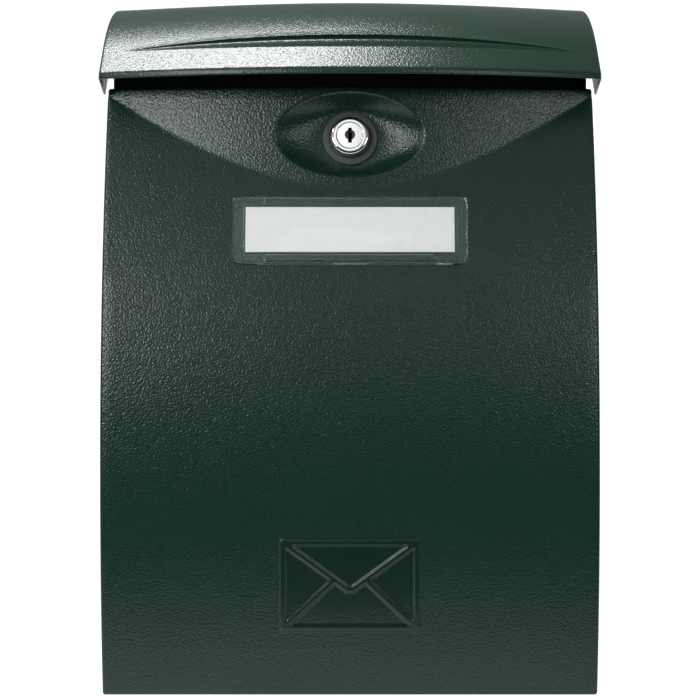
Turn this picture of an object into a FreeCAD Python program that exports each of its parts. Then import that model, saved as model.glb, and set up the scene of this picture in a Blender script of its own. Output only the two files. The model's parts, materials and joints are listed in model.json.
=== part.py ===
import FreeCAD, Part

import math
import os

import Sketcher

# Wall mounted mailbox of folded and pressed sheet steel, in millimetres.
# The back lies on the wall plane y = 0 and the front faces -Y. X is to the right and Z is up.
# The origin is the centre of the four wall screw holes, on the back face.

V = FreeCAD.Vector

DIMENSIONS = [
    ("sheet", 1.0, "thickness of every steel panel"),
    ("body_width", 252.5, "outside width of the shell"),
    ("door_width", 255.5, "outside width of the door, which caps the shell"),
    ("lid_width", 259.0, "outside width of the lid, which covers both"),
    ("low_edge", -178.0, "bottom of the shell and the door"),
    ("front_radius", 590.0, "radius of the curved front in side view"),
    ("belly_depth", 108.0, "distance of the front's fullest point from the wall"),
    ("belly_height", -61.0, "height of the front's fullest point"),
    ("door_top", 137.8, "top edge of the door, just under the lid's lip"),
    ("door_return", 12.0, "depth of the door's folded edges"),
    ("shell_gap", 1.5, "front edge of the shell behind the door's outer face"),
    ("visor_low", 84.5, "lowest point of the bowed zone round the lock"),
    ("visor_radius", 680.0, "bow of that zone in plan"),
    ("visor_lean", 0.06, "backward lean of that zone, per unit of height"),
    ("back_top", 180.3, "top edge of the back panel"),
    ("hole_span", 190.0, "wall screw holes, spacing across"),
    ("hole_rise", 240.0, "wall screw holes, spacing up"),
    ("hole_radius", 3.0, "wall screw holes"),
    ("flange", 12.0, "width of the shell's front flanges"),
    ("bay_depth", 85.0, "depth of the shell's floor, behind the door's hinge"),
    ("bay_rise", 14.0, "height of the floor's turned-up front edge"),
    ("side_step", 60.0, "front edge of the side walls above the door"),
    ("step_height", 135.5, "height where the side walls step back"),
    ("side_crest", 166.0, "top front corner of the side walls"),
    ("crest_radius", 190.0, "curve of the side walls' top edge"),
    ("rod_radius", 1.75, "hinge rods"),
    ("rod_play", 0.05, "radial play of whatever turns on a rod"),
    ("curl_radius", 3.0, "outside of the sheet edge rolled round a rod"),
    ("curl_width", 249.5, "length of the rolled edges, between the side walls"),
    ("door_pin_y", -91.5, "door hinge axis"),
    ("door_pin_z", -174.3, "door hinge axis"),
    ("lid_pin_y", -9.0, "lid hinge axis"),
    ("lid_pin_z", 184.0, "lid hinge axis"),
    ("ear_radius", 4.4, "shell's ears that carry the lid's rod"),
    ("rail_front", 62.6, "front face of the strike rail"),
    ("rail_depth", 14.0, "strike rail channel"),
    ("rail_low", 124.0, "lower edges of the strike rail"),
    ("rail_high", 136.0, "top of the strike rail"),
    ("tab_low", 113.0, "lower end of the rail's riveted tabs"),
    ("rivet_radius", 1.95, "shank of the rail rivets"),
    ("rivet_dome", 3.3, "radius of the rivets' heads, outside"),
    ("rivet_bulb", 2.7, "radius of the rivets' set ends, inside"),
    ("lip_low", 139.3, "lower edge of the lid"),
    ("lip_depth", 100.0, "lid's lip at its two ends"),
    ("lip_bow", 21.6, "how much further the lip stands out in the middle"),
    ("lip_rise", 3.0, "upright part of the lip"),
    ("band_run", 14.0, "sloping band above the lip, front to back"),
    ("band_rise", 12.6, "sloping band above the lip, upwards"),
    ("lid_top", 190.0, "rear edge of the lid"),
    ("hem_depth", 1.5, "rear face of the lid in front of the wall"),
    ("hem_low", 181.0, "lower end of the lid's rear hem"),
    ("hem_bend", 3.0, "rounding of the lid's rear edge"),
    ("dome_radius", 128.0, "curve of the lid in side view"),
    ("flange_low", 168.0, "rear lower corner of the lid's side flanges"),
    ("flange_radius", 104.0, "lower edge of the lid's side flanges"),
    ("tab_run", 23.0, "front tab of the side flanges, behind the lip"),
    ("tab_drop", 5.0, "front tab of the side flanges, below the lip"),
    ("notch_depth", 15.0, "cut-outs of the lid over the shell's ears"),
    ("spacer_radius", 4.0, "washers on the lid's rod"),
    ("spacer_length", 2.0, "washers on the lid's rod"),
    ("lock_depth", 80.6, "dish floor at the lock's axis"),
    ("lock_height", 110.7, "dish floor at the lock's axis"),
    ("lock_tilt", 7.4, "lock axis above the horizontal, degrees"),
    ("dish_run", 14.0, "length of the tapered tool that forms the dish"),
    ("dish_wide", 56.2, "half width of that tool at its wide end"),
    ("dish_tall", 27.6, "half height of that tool at its wide end"),
    ("dish_lift", 2.6, "rise of its wide end above the lock's axis"),
    ("floor_wide", 17.0, "half width of the dish's flat floor"),
    ("floor_tall", 15.4, "half height of the dish's flat floor"),
    ("barrel_radius", 9.4, "threaded barrel"),
    ("barrel_flat", 8.0, "barrel's two flats, from the axis"),
    ("barrel_end", -19.0, "rear end of the barrel"),
    ("head_radius", 10.25, "barrel's head"),
    ("head_face", 7.8, "front of the barrel's head"),
    ("plug_radius", 6.0, "turning plug"),
    ("plug_face", 6.7, "radius of the plug's visible face"),
    ("slot_half", 1.0, "half width of the key slot"),
    ("slot_tall", 4.0, "half height of the key slot"),
    ("entry_radius", 2.7, "round recess at the key slot"),
    ("entry_depth", 1.2, "round recess at the key slot"),
    ("wafer_half", 2.5, "half width of the wafers"),
    ("wafer_tall", 5.3, "half height of the wafers"),
    ("wafer_sheet", 0.9, "thickness of the wafers"),
    ("window_half", 1.3, "half width of the wafers' windows"),
    ("window_tall", 5.5, "height of the wafers' windows"),
    ("bezel_outside", 14.3, "outside radius of the ring round the lock"),
    ("bezel_inside", 10.9, "radius of the ring's wide opening"),
    ("bezel_bore", 9.5, "radius of the ring's thin inner lip"),
    ("bezel_height", 1.8, "ring, above the dish floor"),
    ("bezel_lip", 0.8, "thickness of the inner lip that the head clamps"),
    ("cam_reach", 26.0, "cam, axis to tip"),
    ("cam_half", 7.0, "cam, half width"),
    ("cam_front", -19.2, "cam's front face"),
    ("cam_sheet", 2.0, "cam's thickness"),
    ("shank_half", 3.5, "half side of the plug's square shank"),
    ("nut_flats", 24.0, "lock nut, across flats"),
    ("nut_height", 3.0, "lock nut"),
    ("washer_outside", 5.2, "cam washer"),
    ("washer_inside", 2.6, "cam washer"),
    ("washer_sheet", 1.0, "cam washer"),
    ("screw_radius", 2.45, "cam screw"),
    ("screw_reach", 7.0, "cam screw, below its head"),
    ("screw_head", 4.6, "radius of the cam screw's head"),
    ("screw_rise", 3.0, "height of the cam screw's head"),
    ("plate_height", 62.0, "centre of the name plate"),
    ("plate_wide", 120.0, "name plate cover"),
    ("plate_tall", 36.0, "name plate cover"),
    ("plate_thick", 3.0, "name plate cover"),
    ("plate_rim", 1.0, "inset and height of the cover's raised front"),
    ("window_margin", 6.0, "cover's window, in from the edge"),
    ("window_depth", 0.9, "cover's window, below its front"),
    ("clip_far", 3.8, "clips' inner side, in from the cover's edge"),
    ("clip_near", 2.4, "clips' outer side, in from the cover's edge"),
    ("clip_half", 6.0, "half width of the clips"),
    ("clip_reach", 3.2, "clips, behind the door's face"),
    ("label_wide", 108.0, "paper label"),
    ("label_tall", 24.0, "paper label"),
    ("label_sheet", 0.4, "paper label"),
    ("label_play", 0.5, "gap round the label in its pocket"),
    ("badge_height", -120.5, "centre of the raised envelope"),
    ("badge_wide", 71.4, "raised envelope"),
    ("badge_tall", 47.2, "raised envelope"),
    ("badge_rib", 2.9, "width of its ribs"),
    ("badge_relief", 0.8, "height of its ribs"),
    ("badge_tip", -2.8, "centre line of the flap's tip, from the middle"),
    ("fold_end", 9.6, "inner ends of the two lower folds, from the middle"),
    ("fold_rise", 4.2, "the same, above the flap's tip"),
]

WAFER_PLACES = (2.5, -0.5, -3.5, -6.5, -9.5)


class Size:
    """A number and the sheet expression that gives it, so that shape and binding stay together."""

    def __init__(self, value, text):
        self.value = value
        self.text = text

    def __add__(self, other):
        other = as_size(other)
        return Size(self.value + other.value, f"({self.text} + {other.text})")

    def __sub__(self, other):
        other = as_size(other)
        return Size(self.value - other.value, f"({self.text} - {other.text})")

    def __rsub__(self, other):
        return as_size(other) - self

    def __mul__(self, other):
        other = as_size(other)
        return Size(self.value * other.value, f"({self.text} * {other.text})")

    def __truediv__(self, other):
        other = as_size(other)
        return Size(self.value / other.value, f"({self.text} / {other.text})")

    def __neg__(self):
        return Size(-self.value, f"(0 - {self.text})")


def as_size(number):
    return number if isinstance(number, Size) else Size(float(number), f"({number:g})")


def root(size):
    return Size(math.sqrt(size.value), f"sqrt({size.text})")


def slope_angle(rise, run):
    degrees = math.degrees(math.atan(rise.value / run.value))
    return Size(degrees, f"(atan({rise.text} / {run.text}) / 1 deg)")


doc = FreeCAD.newDocument("wall_mailbox")
sheet = doc.addObject("Spreadsheet::Sheet", "sizes")
D = {}
for row, (alias, value, note) in enumerate(DIMENSIONS, start=1):
    sheet.set(f"A{row}", note)
    sheet.set(f"B{row}", str(value))
    sheet.setAlias(f"B{row}", alias)
    D[alias] = Size(value, f"sizes.{alias}")
doc.recompute()
T = D["sheet"]


# ---- geometry shared by several sub-parts ----

def front_y(height, inset=0):
    """The curved front's Y at a height, or that of a surface a little way inside it."""
    radius = D["front_radius"] - inset
    rise = as_size(height) - D["belly_height"]
    return D["front_radius"] - D["belly_depth"] - root(radius * radius - rise * rise)


# ---- short forms for document objects ----

def bind(thing, prop, size):
    thing.setExpression(prop, as_size(size).text)


def new_body(label):
    body = doc.addObject("PartDesign::Body", label)
    body.Label = label
    body.AllowCompound = True
    return body


def new_sketch(body, role, offset=None):
    """A sketch on one of the body's origin planes, moved along the plane's normal."""
    sketch = body.newObject("Sketcher::SketchObject", body.Name + "_sketch")
    plane = [part for part in body.Origin.OriginFeatures if part.Role == role][0]
    sketch.AttachmentSupport = [(plane, "")]
    sketch.MapMode = "FlatFace"
    if offset is not None:
        bind(sketch, "AttachmentOffset.Base.z", offset)
    return sketch


def pin_point(sketch, edge, end, corner):
    """Ties one end of an edge to its place, measured from the sketch's origin."""
    for kind, size in zip(("DistanceX", "DistanceY"), corner):
        index = sketch.addConstraint(Sketcher.Constraint(kind, -1, 1, edge, end, size.value))
        bind(sketch, f"Constraints[{index}]", size)


def arc_between(first, last, radius, side):
    """An arc from first to last, its centre on the left (side 1) or right (side -1) of the way."""
    chord = last - first
    reach = math.sqrt(radius * radius - chord.Length ** 2 / 4)
    left = V(-chord.y, chord.x, 0).normalize()
    centre = (first + last) / 2 + left * reach * side
    ends = (first, last) if side > 0 else (last, first)
    angles = [math.atan2(end.y - centre.y, end.x - centre.x) for end in ends]
    return Part.ArcOfCircle(Part.Circle(centre, V(0, 0, 1), radius), *angles)


def outline(sketch, corners, arcs=None):
    """A closed outline through the corners; arcs maps an edge's number to (radius, side)."""
    arcs = arcs or {}
    corners = [(as_size(x), as_size(y)) for x, y in corners]
    places = [V(x.value, y.value, 0) for x, y in corners]
    edges = []
    for number, first in enumerate(places):
        last = places[(number + 1) % len(places)]
        if number in arcs:
            radius, side = arcs[number]
            edge = sketch.addGeometry(arc_between(first, last, radius.value, side), False)
            index = sketch.addConstraint(Sketcher.Constraint("Radius", edge, radius.value))
            bind(sketch, f"Constraints[{index}]", radius)
            edges.append((edge, 1, 2) if side > 0 else (edge, 2, 1))
        else:
            edges.append((sketch.addGeometry(Part.LineSegment(first, last), False), 1, 2))
    for number, (edge, start, _) in enumerate(edges):
        before, _, end = edges[number - 1]
        sketch.addConstraint(Sketcher.Constraint("Coincident", before, end, edge, start))
        pin_point(sketch, edge, start, corners[number])
    return sketch


def rectangle(sketch, left, low, right, high):
    return outline(sketch, [(left, low), (right, low), (right, high), (left, high)])


def circle(sketch, x, y, radius):
    x, y, radius = as_size(x), as_size(y), as_size(radius)
    edge = sketch.addGeometry(Part.Circle(V(x.value, y.value, 0), V(0, 0, 1), radius.value), False)
    index = sketch.addConstraint(Sketcher.Constraint("Radius", edge, radius.value))
    bind(sketch, f"Constraints[{index}]", radius)
    pin_point(sketch, edge, 3, (x, y))
    return sketch


def rounded_rectangle(sketch, wide, tall, radius):
    """A rectangle about the origin, from half its width and half its height."""
    wide, tall, radius = as_size(wide), as_size(tall), as_size(radius)
    inner_x = wide - radius
    inner_y = tall - radius
    corners = [
        (inner_x, -tall), (wide, -inner_y), (wide, inner_y), (inner_x, tall),
        (-inner_x, tall), (-wide, inner_y), (-wide, -inner_y), (-inner_x, -tall),
    ]
    return outline(sketch, corners, {number: (radius, 1) for number in (0, 2, 4, 6)})


def pad(body, sketch, length, side="One side"):
    feature = body.newObject("PartDesign::Pad", body.Name + "_pad")
    feature.Profile = sketch
    feature.SideType = side
    bind(feature, "Length", length)
    sketch.Visibility = False
    return feature


def mirrored_pad(body, sketch, length):
    """A pad and its copy on the other side of the middle plane."""
    feature = pad(body, sketch, length)
    plane = [part for part in body.Origin.OriginFeatures if part.Role == "YZ_Plane"][0]
    mirror = body.newObject("PartDesign::Mirrored", body.Name + "_mirror")
    mirror.Originals = [feature]
    mirror.MirrorPlane = (plane, [""])
    body.Tip = mirror


def pocket(body, sketch, length=None, reverse=False):
    """A cut, right through both ways when no length is given."""
    feature = body.newObject("PartDesign::Pocket", body.Name + "_pocket")
    feature.Profile = sketch
    if length is None:
        feature.SideType = "Symmetric"
        feature.Type = "ThroughAll"
    else:
        bind(feature, "Length", length)
        feature.Reversed = reverse
    return feature


def revolve(body, corners):
    """Turns an outline of (radius, height) corners about the body's Z axis."""
    sketch = outline(new_sketch(body, "XZ_Plane"), corners)
    feature = body.newObject("PartDesign::Revolution", body.Name + "_turned")
    feature.Profile = sketch
    feature.ReferenceAxis = (sketch, ["V_Axis"])
    feature.Angle = 360
    return feature


def place(thing, y, z, tilt=None):
    """Puts a thing at a height and depth, its own Z axis tilted from upright about X."""
    y, z, tilt = as_size(y), as_size(z), as_size(tilt or 0)
    turn = FreeCAD.Rotation(V(1, 0, 0), tilt.value)
    thing.Placement = FreeCAD.Placement(V(0, y.value, z.value), turn)
    bind(thing, "Placement.Base.y", y)
    bind(thing, "Placement.Base.z", z)
    bind(thing, "Placement.Rotation.Angle", tilt)
    return thing


def place_on_lock(body):
    """The lock's own frame: origin on the dish floor, Z outwards along the key's way in."""
    return place(body, -D["lock_depth"], D["lock_height"], as_size(90) - D["lock_tilt"])


def place_on_plate(body):
    """The name plate's own frame: origin on the door's face, Z outwards, X to the right."""
    height = D["plate_height"]
    lean = slope_angle(height - D["belly_height"], root(
        D["front_radius"] * D["front_radius"]
        - (height - D["belly_height"]) * (height - D["belly_height"])))
    return place(body, front_y(height), height, as_size(90) - lean)


def rod(label, radius, length, y, z):
    """A round bar along X, centred on the middle plane."""
    length = as_size(length)
    bar = doc.addObject("Part::Cylinder", label)
    bar.Label = label
    turn = FreeCAD.Rotation(V(0, 1, 0), 90)
    bar.Placement = FreeCAD.Placement(V(-length.value / 2, y.value, z.value), turn)
    bind(bar, "Radius", radius)
    bind(bar, "Height", length)
    bind(bar, "Placement.Base.x", -length / 2)
    bind(bar, "Placement.Base.y", y)
    bind(bar, "Placement.Base.z", z)
    return bar


def box(label, corner, sizes):
    """A block from its lowest corner and its three sizes."""
    block = doc.addObject("Part::Box", label)
    for prop, size in zip(("Length", "Width", "Height"), sizes):
        bind(block, prop, size)
    for axis, size in zip("xyz", corner):
        bind(block, f"Placement.Base.{axis}", size)
    return block


def cut(label, base, tool):
    feature = doc.addObject("Part::Cut", label)
    feature.Label = label
    feature.Base = base
    feature.Tool = tool
    return feature


def fuse(label, shapes):
    feature = doc.addObject("Part::MultiFuse", label)
    feature.Label = label
    feature.Shapes = shapes
    return feature


def curl(label, y, z):
    """A sheet edge rolled round a hinge rod."""
    bore = D["rod_radius"] + D["rod_play"]
    outside = rod(label + "_outside", D["curl_radius"], D["curl_width"], y, z)
    inside = rod(label + "_bore", bore, D["curl_width"] + 2, y, z)
    return cut(label, outside, inside)


# ---- shell: back, floor, sides and front flanges, folded and welded ----

def make_body_shell():
    body = new_body("body_shell")
    half = D["body_width"] / 2
    low = D["low_edge"]
    pin_y = D["lid_pin_y"]
    pin_z = D["lid_pin_z"]
    ear = D["ear_radius"]
    gap = D["shell_gap"]
    heel = D["door_pin_z"] - low
    toe = D["door_pin_z"] + heel
    side = outline(new_sketch(body, "YZ_Plane", half - T), [
        (0, low),
        (D["door_pin_y"], low),
        (D["door_pin_y"] - heel, D["door_pin_z"]),
        (front_y(toe, gap), toe),
        (front_y(D["step_height"], gap), D["step_height"]),
        (-D["side_step"], D["step_height"]),
        (-D["side_step"], D["side_crest"]),
        (pin_y - ear, pin_z),
        (pin_y + ear, pin_z),
        (pin_y + ear, D["back_top"]),
        (0, D["back_top"]),
    ], {
        1: (heel, -1),
        3: (D["front_radius"] - gap, -1),
        6: (D["crest_radius"], -1),
        7: (ear + 0.01, -1),
    })
    mirrored_pad(body, side, T)
    back = rectangle(new_sketch(body, "XZ_Plane"), -half, low, half, D["back_top"])
    pad(body, back, T)
    bay = -D["bay_depth"]
    floor = outline(new_sketch(body, "YZ_Plane"), [
        (0, low), (bay - T, low), (bay - T, low + D["bay_rise"]),
        (bay, low + D["bay_rise"]), (bay, low + T), (0, low + T),
    ])
    pad(body, floor, D["body_width"], "Symmetric")
    flange = outline(new_sketch(body, "YZ_Plane", half - T - D["flange"]), [
        (front_y(low + D["bay_rise"], gap), low + D["bay_rise"]),
        (front_y(D["step_height"], gap), D["step_height"]),
        (front_y(D["step_height"], gap + T), D["step_height"]),
        (front_y(low + D["bay_rise"], gap + T), low + D["bay_rise"]),
    ], {0: (D["front_radius"] - gap, -1), 2: (D["front_radius"] - gap - T, 1)})
    mirrored_pad(body, flange, D["flange"] + T / 2)
    screws = new_sketch(body, "XZ_Plane")
    for across in (-D["hole_span"] / 2, D["hole_span"] / 2):
        for up in (-D["hole_rise"] / 2, D["hole_rise"] / 2):
            circle(screws, across, up, D["hole_radius"])
    pocket(body, screws, D["bay_depth"] / 2, reverse=True)
    bores = new_sketch(body, "YZ_Plane")
    circle(bores, D["door_pin_y"], D["door_pin_z"], D["rod_radius"] + D["rod_play"])
    circle(bores, pin_y, pin_z, D["rod_radius"] + D["rod_play"])
    for up in rivet_heights():
        circle(bores, rivet_y(), up, D["rivet_radius"] + D["rod_play"])
    pocket(body, bores)
    return body


def rivet_y():
    return -D["rail_front"] + D["rail_depth"] / 2


def rivet_heights():
    return [D["tab_low"] + 5, D["rail_high"] - 7]


# ---- strike rail: the channel across the mouth that the cam locks behind ----

def make_strike_rail():
    body = new_body("strike_rail")
    front = -D["rail_front"]
    rear = front + D["rail_depth"]
    low = D["rail_low"]
    high = D["rail_high"]
    inner = D["body_width"] - T * 2
    channel = outline(new_sketch(body, "YZ_Plane"), [
        (front, low), (front + T, low), (front + T, high - T), (rear - T, high - T),
        (rear - T, low), (rear, low), (rear, high), (front, high),
    ])
    pad(body, channel, inner, "Symmetric")
    tab = rectangle(new_sketch(body, "YZ_Plane", inner / 2 - T),
                    front + T / 2, D["tab_low"], rear - T / 2, high - T / 2)
    mirrored_pad(body, tab, T)
    holes = new_sketch(body, "YZ_Plane")
    for up in rivet_heights():
        circle(holes, rivet_y(), up, D["rivet_radius"] + D["rod_play"])
    pocket(body, holes)
    return body


def make_rail_rivets():
    """Four blind rivets: a shank through wall and tab, a dome outside and a bulb inside."""
    wall = D["body_width"] / 2
    rivets = []
    for side in (-1, 1):
        for number, up in enumerate(rivet_heights()):
            name = f"rivet_{'left' if side < 0 else 'right'}_{number}"
            pieces = []
            for part, radius, start, length in (
                    ("shank", D["rivet_radius"], wall - T * 2 - 2, T * 2 + 3),
                    ("dome", D["rivet_dome"], wall, T),
                    ("bulb", D["rivet_bulb"], wall - T * 2 - 2, T * 2)):
                bar = rod(f"{name}_{part}", radius, length, rivet_y(), up)
                bind(bar, "Placement.Base.x", start if side > 0 else -(start + length))
                pieces.append(bar)
            rivets.append(fuse(name, pieces))
    group = doc.addObject("Part::Compound", "rail_rivets")
    group.Label = "rail_rivets"
    group.Links = rivets
    return group


# ---- door: curved front with a bowed zone, a dish, folded edges and a rolled lower edge ----

def make_front_block(name, inset, deep):
    """The solid the door's sheet wraps, or its inside when there is an inset."""
    body = new_body(name)
    inset = as_size(inset)
    low = D["low_edge"] + inset
    high = D["door_top"] - inset
    deep = as_size(deep)
    band = outline(new_sketch(body, "YZ_Plane"), [
        (front_y(low, inset), low), (front_y(high, inset), high),
        (front_y(high, deep), high), (front_y(low, deep), low),
    ], {0: (D["front_radius"] - inset, -1), 2: (D["front_radius"] - deep, 1)})
    pad(body, band, D["door_width"] - inset * 2, "Symmetric")
    radius = D["visor_radius"]
    half = D["door_width"] / 2 - inset
    crown = front_y(D["visor_low"]) + inset
    ends = crown + radius - root(radius * radius - half * half)
    rise = high - D["visor_low"]
    visor = outline(new_sketch(body, "XY_Plane", D["visor_low"]), [
        (-half, ends), (half, ends), (half, ends + deep - 1), (-half, ends + deep - 1),
    ], {0: (radius, 1)})
    bulge = pad(body, visor, rise)
    bulge.UseCustomVector = True
    bulge.AlongSketchNormal = True
    bulge.Direction = V(0, D["visor_lean"].value, 1)
    behind = outline(new_sketch(body, "YZ_Plane"), [
        (front_y(low, deep), low), (front_y(high, deep), high), (0, high), (0, low),
    ], {0: (D["front_radius"] - deep, -1)})
    pocket(body, behind)
    return body


def make_dish(name, inset):
    """A tapered oval tool; moved back by the sheet's thickness it forms the inside."""
    body = new_body(name)
    shift = -as_size(inset)
    floor = new_sketch(body, "XY_Plane", shift)
    ellipse(floor, 0, D["floor_wide"], D["floor_tall"])
    rim = new_sketch(body, "XY_Plane", shift + D["dish_run"])
    ellipse(rim, D["dish_lift"], D["dish_wide"], D["dish_tall"])
    loft = body.newObject("PartDesign::AdditiveLoft", name + "_loft")
    loft.Profile = floor
    loft.Sections = [rim]
    loft.Ruled = True
    return place_on_lock(body)


def ellipse(sketch, lift, wide, tall):
    """An upright oval, wider than tall, from its half width and half height."""
    lift, wide, tall = as_size(lift), as_size(wide), as_size(tall)
    centre = V(0, lift.value, 0)
    shape = Part.Ellipse(centre + V(wide.value, 0, 0), centre + V(0, tall.value, 0), centre)
    edge = sketch.addGeometry(shape, False)
    sketch.exposeInternalGeometry(edge)
    major, minor = edge + 1, edge + 2
    pin_point(sketch, edge, 3, (as_size(0), lift))
    sketch.addConstraint(Sketcher.Constraint("Horizontal", major))
    for axis, size in ((major, wide), (minor, tall)):
        index = sketch.addConstraint(Sketcher.Constraint("Distance", axis, size.value * 2))
        bind(sketch, f"Constraints[{index}]", size * 2)


def make_lock_opening():
    """The hole with two flats that keeps the barrel from turning."""
    body = new_body("lock_opening")
    radius = D["barrel_radius"] + 0.1
    flat = D["barrel_flat"] + 0.1
    high = root(radius * radius - flat * flat)
    hole = outline(new_sketch(body, "XY_Plane"), [
        (flat, -high), (flat, high), (-flat, high), (-flat, -high),
    ], {1: (radius, 1), 3: (radius, 1)})
    pad(body, hole, 6, "Symmetric")
    return place_on_lock(body)


def clip_rectangles(play):
    """The name plate's four clips, as rectangles in its own frame."""
    play = as_size(play)
    half = D["clip_half"] + play
    for size, upright in ((D["plate_wide"] / 2, True), (D["plate_tall"] / 2, False)):
        near = size - D["clip_near"] + play
        far = size - D["clip_far"] - play
        for start, end in ((far, near), (-near, -far)):
            yield (start, -half, end, half) if upright else (-half, start, half, end)


def make_plate_openings():
    body = new_body("plate_openings")
    slots = new_sketch(body, "XY_Plane")
    for corners in clip_rectangles(0.2):
        rectangle(slots, *corners)
    pad(body, slots, 8, "Symmetric")
    return place_on_plate(body)


def make_hinge_relief():
    """What is cut from the door's lower fold: all but the strip that rolls round the rod."""
    low = D["low_edge"]
    inner = D["door_width"] - T * 2
    strip = D["curl_width"]
    rear = box("relief_rear", (-inner / 2, D["door_pin_y"], low - 1), (inner, as_size(20), T + 1))
    width = (inner - strip) / 2
    front = front_y(low + T, T)
    blocks = [rear]
    for name, start in (("relief_left", -inner / 2), ("relief_right", strip / 2)):
        blocks.append(box(name, (start, front, low - 1), (width, as_size(20), T + 1)))
    return blocks


def make_badge():
    """The raised envelope: a frame, a flap and two folds, following the curved front."""
    wide = D["badge_wide"] / 2
    tall = D["badge_tall"] / 2
    rib = D["badge_rib"]
    middle = D["badge_height"]
    plates = new_body("badge_frame")
    ring = new_sketch(plates, "XZ_Plane")
    rectangle(ring, -wide, middle - tall, wide, middle + tall)
    rectangle(ring, rib - wide, middle - tall + rib, wide - rib, middle + tall - rib)
    pad(plates, ring, D["belly_depth"] + 5)
    bars = [plates]
    far_x = wide - rib / 2
    tip = D["badge_tip"]
    fold_x = D["fold_end"]
    fold_z = tip + D["fold_rise"]
    for name, start_x, start_z, end_x, end_z in (
            ("flap_left", -far_x, tall - rib / 2, as_size(0), tip),
            ("flap_right", as_size(0), tip, far_x, tall - rib / 2),
            ("fold_left", -far_x, rib / 2 - tall, -fold_x, fold_z),
            ("fold_right", fold_x, fold_z, far_x, rib / 2 - tall)):
        bars.append(make_bar(name, start_x, middle + start_z, end_x, middle + end_z, rib))
    ribs = fuse("badge_ribs", bars)
    skin = new_body("badge_skin")
    low = middle - tall - 1
    high = middle + tall + 1
    relief = D["badge_relief"]
    band = outline(new_sketch(skin, "YZ_Plane"), [
        (front_y(low, -relief), low), (front_y(high, -relief), high),
        (front_y(high, T / 2), high), (front_y(low, T / 2), low),
    ], {0: (D["front_radius"] + relief, -1), 2: (D["front_radius"] - T / 2, 1)})
    pad(skin, band, D["badge_wide"] + 2, "Symmetric")
    badge = doc.addObject("Part::Common", "badge")
    badge.Base = ribs
    badge.Tool = skin
    return badge


def make_bar(name, start_x, start_z, end_x, end_z, rib):
    """A straight rib between two points of the front view, run through in depth."""
    run = end_x - start_x
    rise = end_z - start_z
    length = root(run * run + rise * rise)
    lean = slope_angle(rise, run)
    depth = D["belly_depth"] + 5
    body = new_body(name)
    strip = rectangle(new_sketch(body, "XZ_Plane"), 0, -rib / 2, length, rib / 2)
    pad(body, strip, depth)
    body.Placement = FreeCAD.Placement(V(start_x.value, 0, start_z.value),
                                       FreeCAD.Rotation(V(0, -1, 0), lean.value))
    bind(body, "Placement.Base.x", start_x)
    bind(body, "Placement.Base.z", start_z)
    bind(body, "Placement.Rotation.Angle", lean)
    return body


def make_front_door():
    deep = D["door_return"]
    outer = cut("door_outside", make_front_block("door_block", 0, deep), make_dish("dish_face", 0))
    inner = cut("door_inside", make_front_block("door_core", T, deep + 4), make_dish("dish_rear", T))
    tray = cut("door_tray", outer, inner)
    openings = fuse("door_openings", [
        make_lock_opening(), make_plate_openings(), *make_hinge_relief(),
    ])
    pressed = cut("door_pressed", tray, openings)
    knuckle = curl("door_curl", D["door_pin_y"], D["door_pin_z"])
    return fuse("front_door", [pressed, knuckle, make_badge()])


# ---- lid: domed and bowed, with side flanges and a rear hem rolled round its rod ----

def make_lid_block(name, inset):
    """A loft through the lid's left, middle and right sections, or of its inside."""
    body = new_body(name)
    inset = as_size(inset)
    half = D["lid_width"] / 2 - inset
    sections = []
    for across, bow in ((-half, 0), (as_size(0), D["lip_bow"]), (half, 0)):
        lip = -(D["lip_depth"] + bow) + inset
        corners, arcs = lid_section(lip, inset)
        sections.append(outline(new_sketch(body, "YZ_Plane", across), corners, arcs))
    loft = body.newObject("PartDesign::AdditiveLoft", name + "_loft")
    loft.Profile = sections[0]
    loft.Sections = sections[1:]
    return body


def lid_section(lip, inset):
    """One section: lip, sloping band, dome, rear bend, then the flanges' lower edge."""
    slope = root(D["band_run"] * D["band_run"] + D["band_rise"] * D["band_rise"])
    step_y = inset * D["band_rise"] / slope
    step_z = inset * D["band_run"] / slope
    band_low = D["lip_low"] + D["lip_rise"]
    rear = -D["hem_depth"] - inset
    bend = D["hem_bend"] - inset
    top = D["lid_top"] - inset
    corners = [
        (lip, D["lip_low"]),
        (lip, band_low - inset * 0.4),
        (lip - inset + D["band_run"] + step_y, band_low + D["band_rise"] - step_z),
        (rear - bend, top),
        (rear, top - bend),
    ]
    arcs = {2: (D["dome_radius"] - inset, -1), 3: (bend, -1)}
    if inset.value == 0:
        corners.append((rear, D["flange_low"]))
        corners.append((lip + D["tab_run"], D["lip_low"] - D["tab_drop"]))
        arcs[5] = (D["flange_radius"], 1)
    else:
        corners[0] = (lip, D["lip_low"] - 20)
        corners.append((rear, D["lip_low"] - 20))
    return corners, arcs


def make_lid():
    shell = cut("lid_shell", make_lid_block("lid_block", 0), make_lid_block("lid_core", T))
    inner = D["lid_width"] - T * 2
    strip = D["curl_width"]
    rear = -D["hem_depth"]
    trims = [box("hem_trim", (-inner / 2, rear - T - 1, D["flange_low"] - 10),
                 (inner, T + 2, D["hem_low"] - D["flange_low"] + 10))]
    for name, start in (("notch_left", -inner / 2), ("notch_right", strip / 2)):
        trims.append(box(name, (start, -D["notch_depth"], D["flange_low"]),
                         ((inner - strip) / 2, D["notch_depth"], as_size(40))))
    trimmed = cut("lid_trimmed", shell, fuse("lid_trims", trims))
    leg = box("lid_leg", (-strip / 2, D["lid_pin_y"], D["hem_low"]),
              (strip, rear - T / 2 - D["lid_pin_y"], T))
    bore = rod("lid_leg_bore", D["rod_radius"] + D["rod_play"], strip + 2,
               D["lid_pin_y"], D["lid_pin_z"])
    knuckle = curl("lid_curl", D["lid_pin_y"], D["lid_pin_z"])
    return fuse("lid", [trimmed, cut("lid_foot", leg, bore), knuckle])


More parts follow.
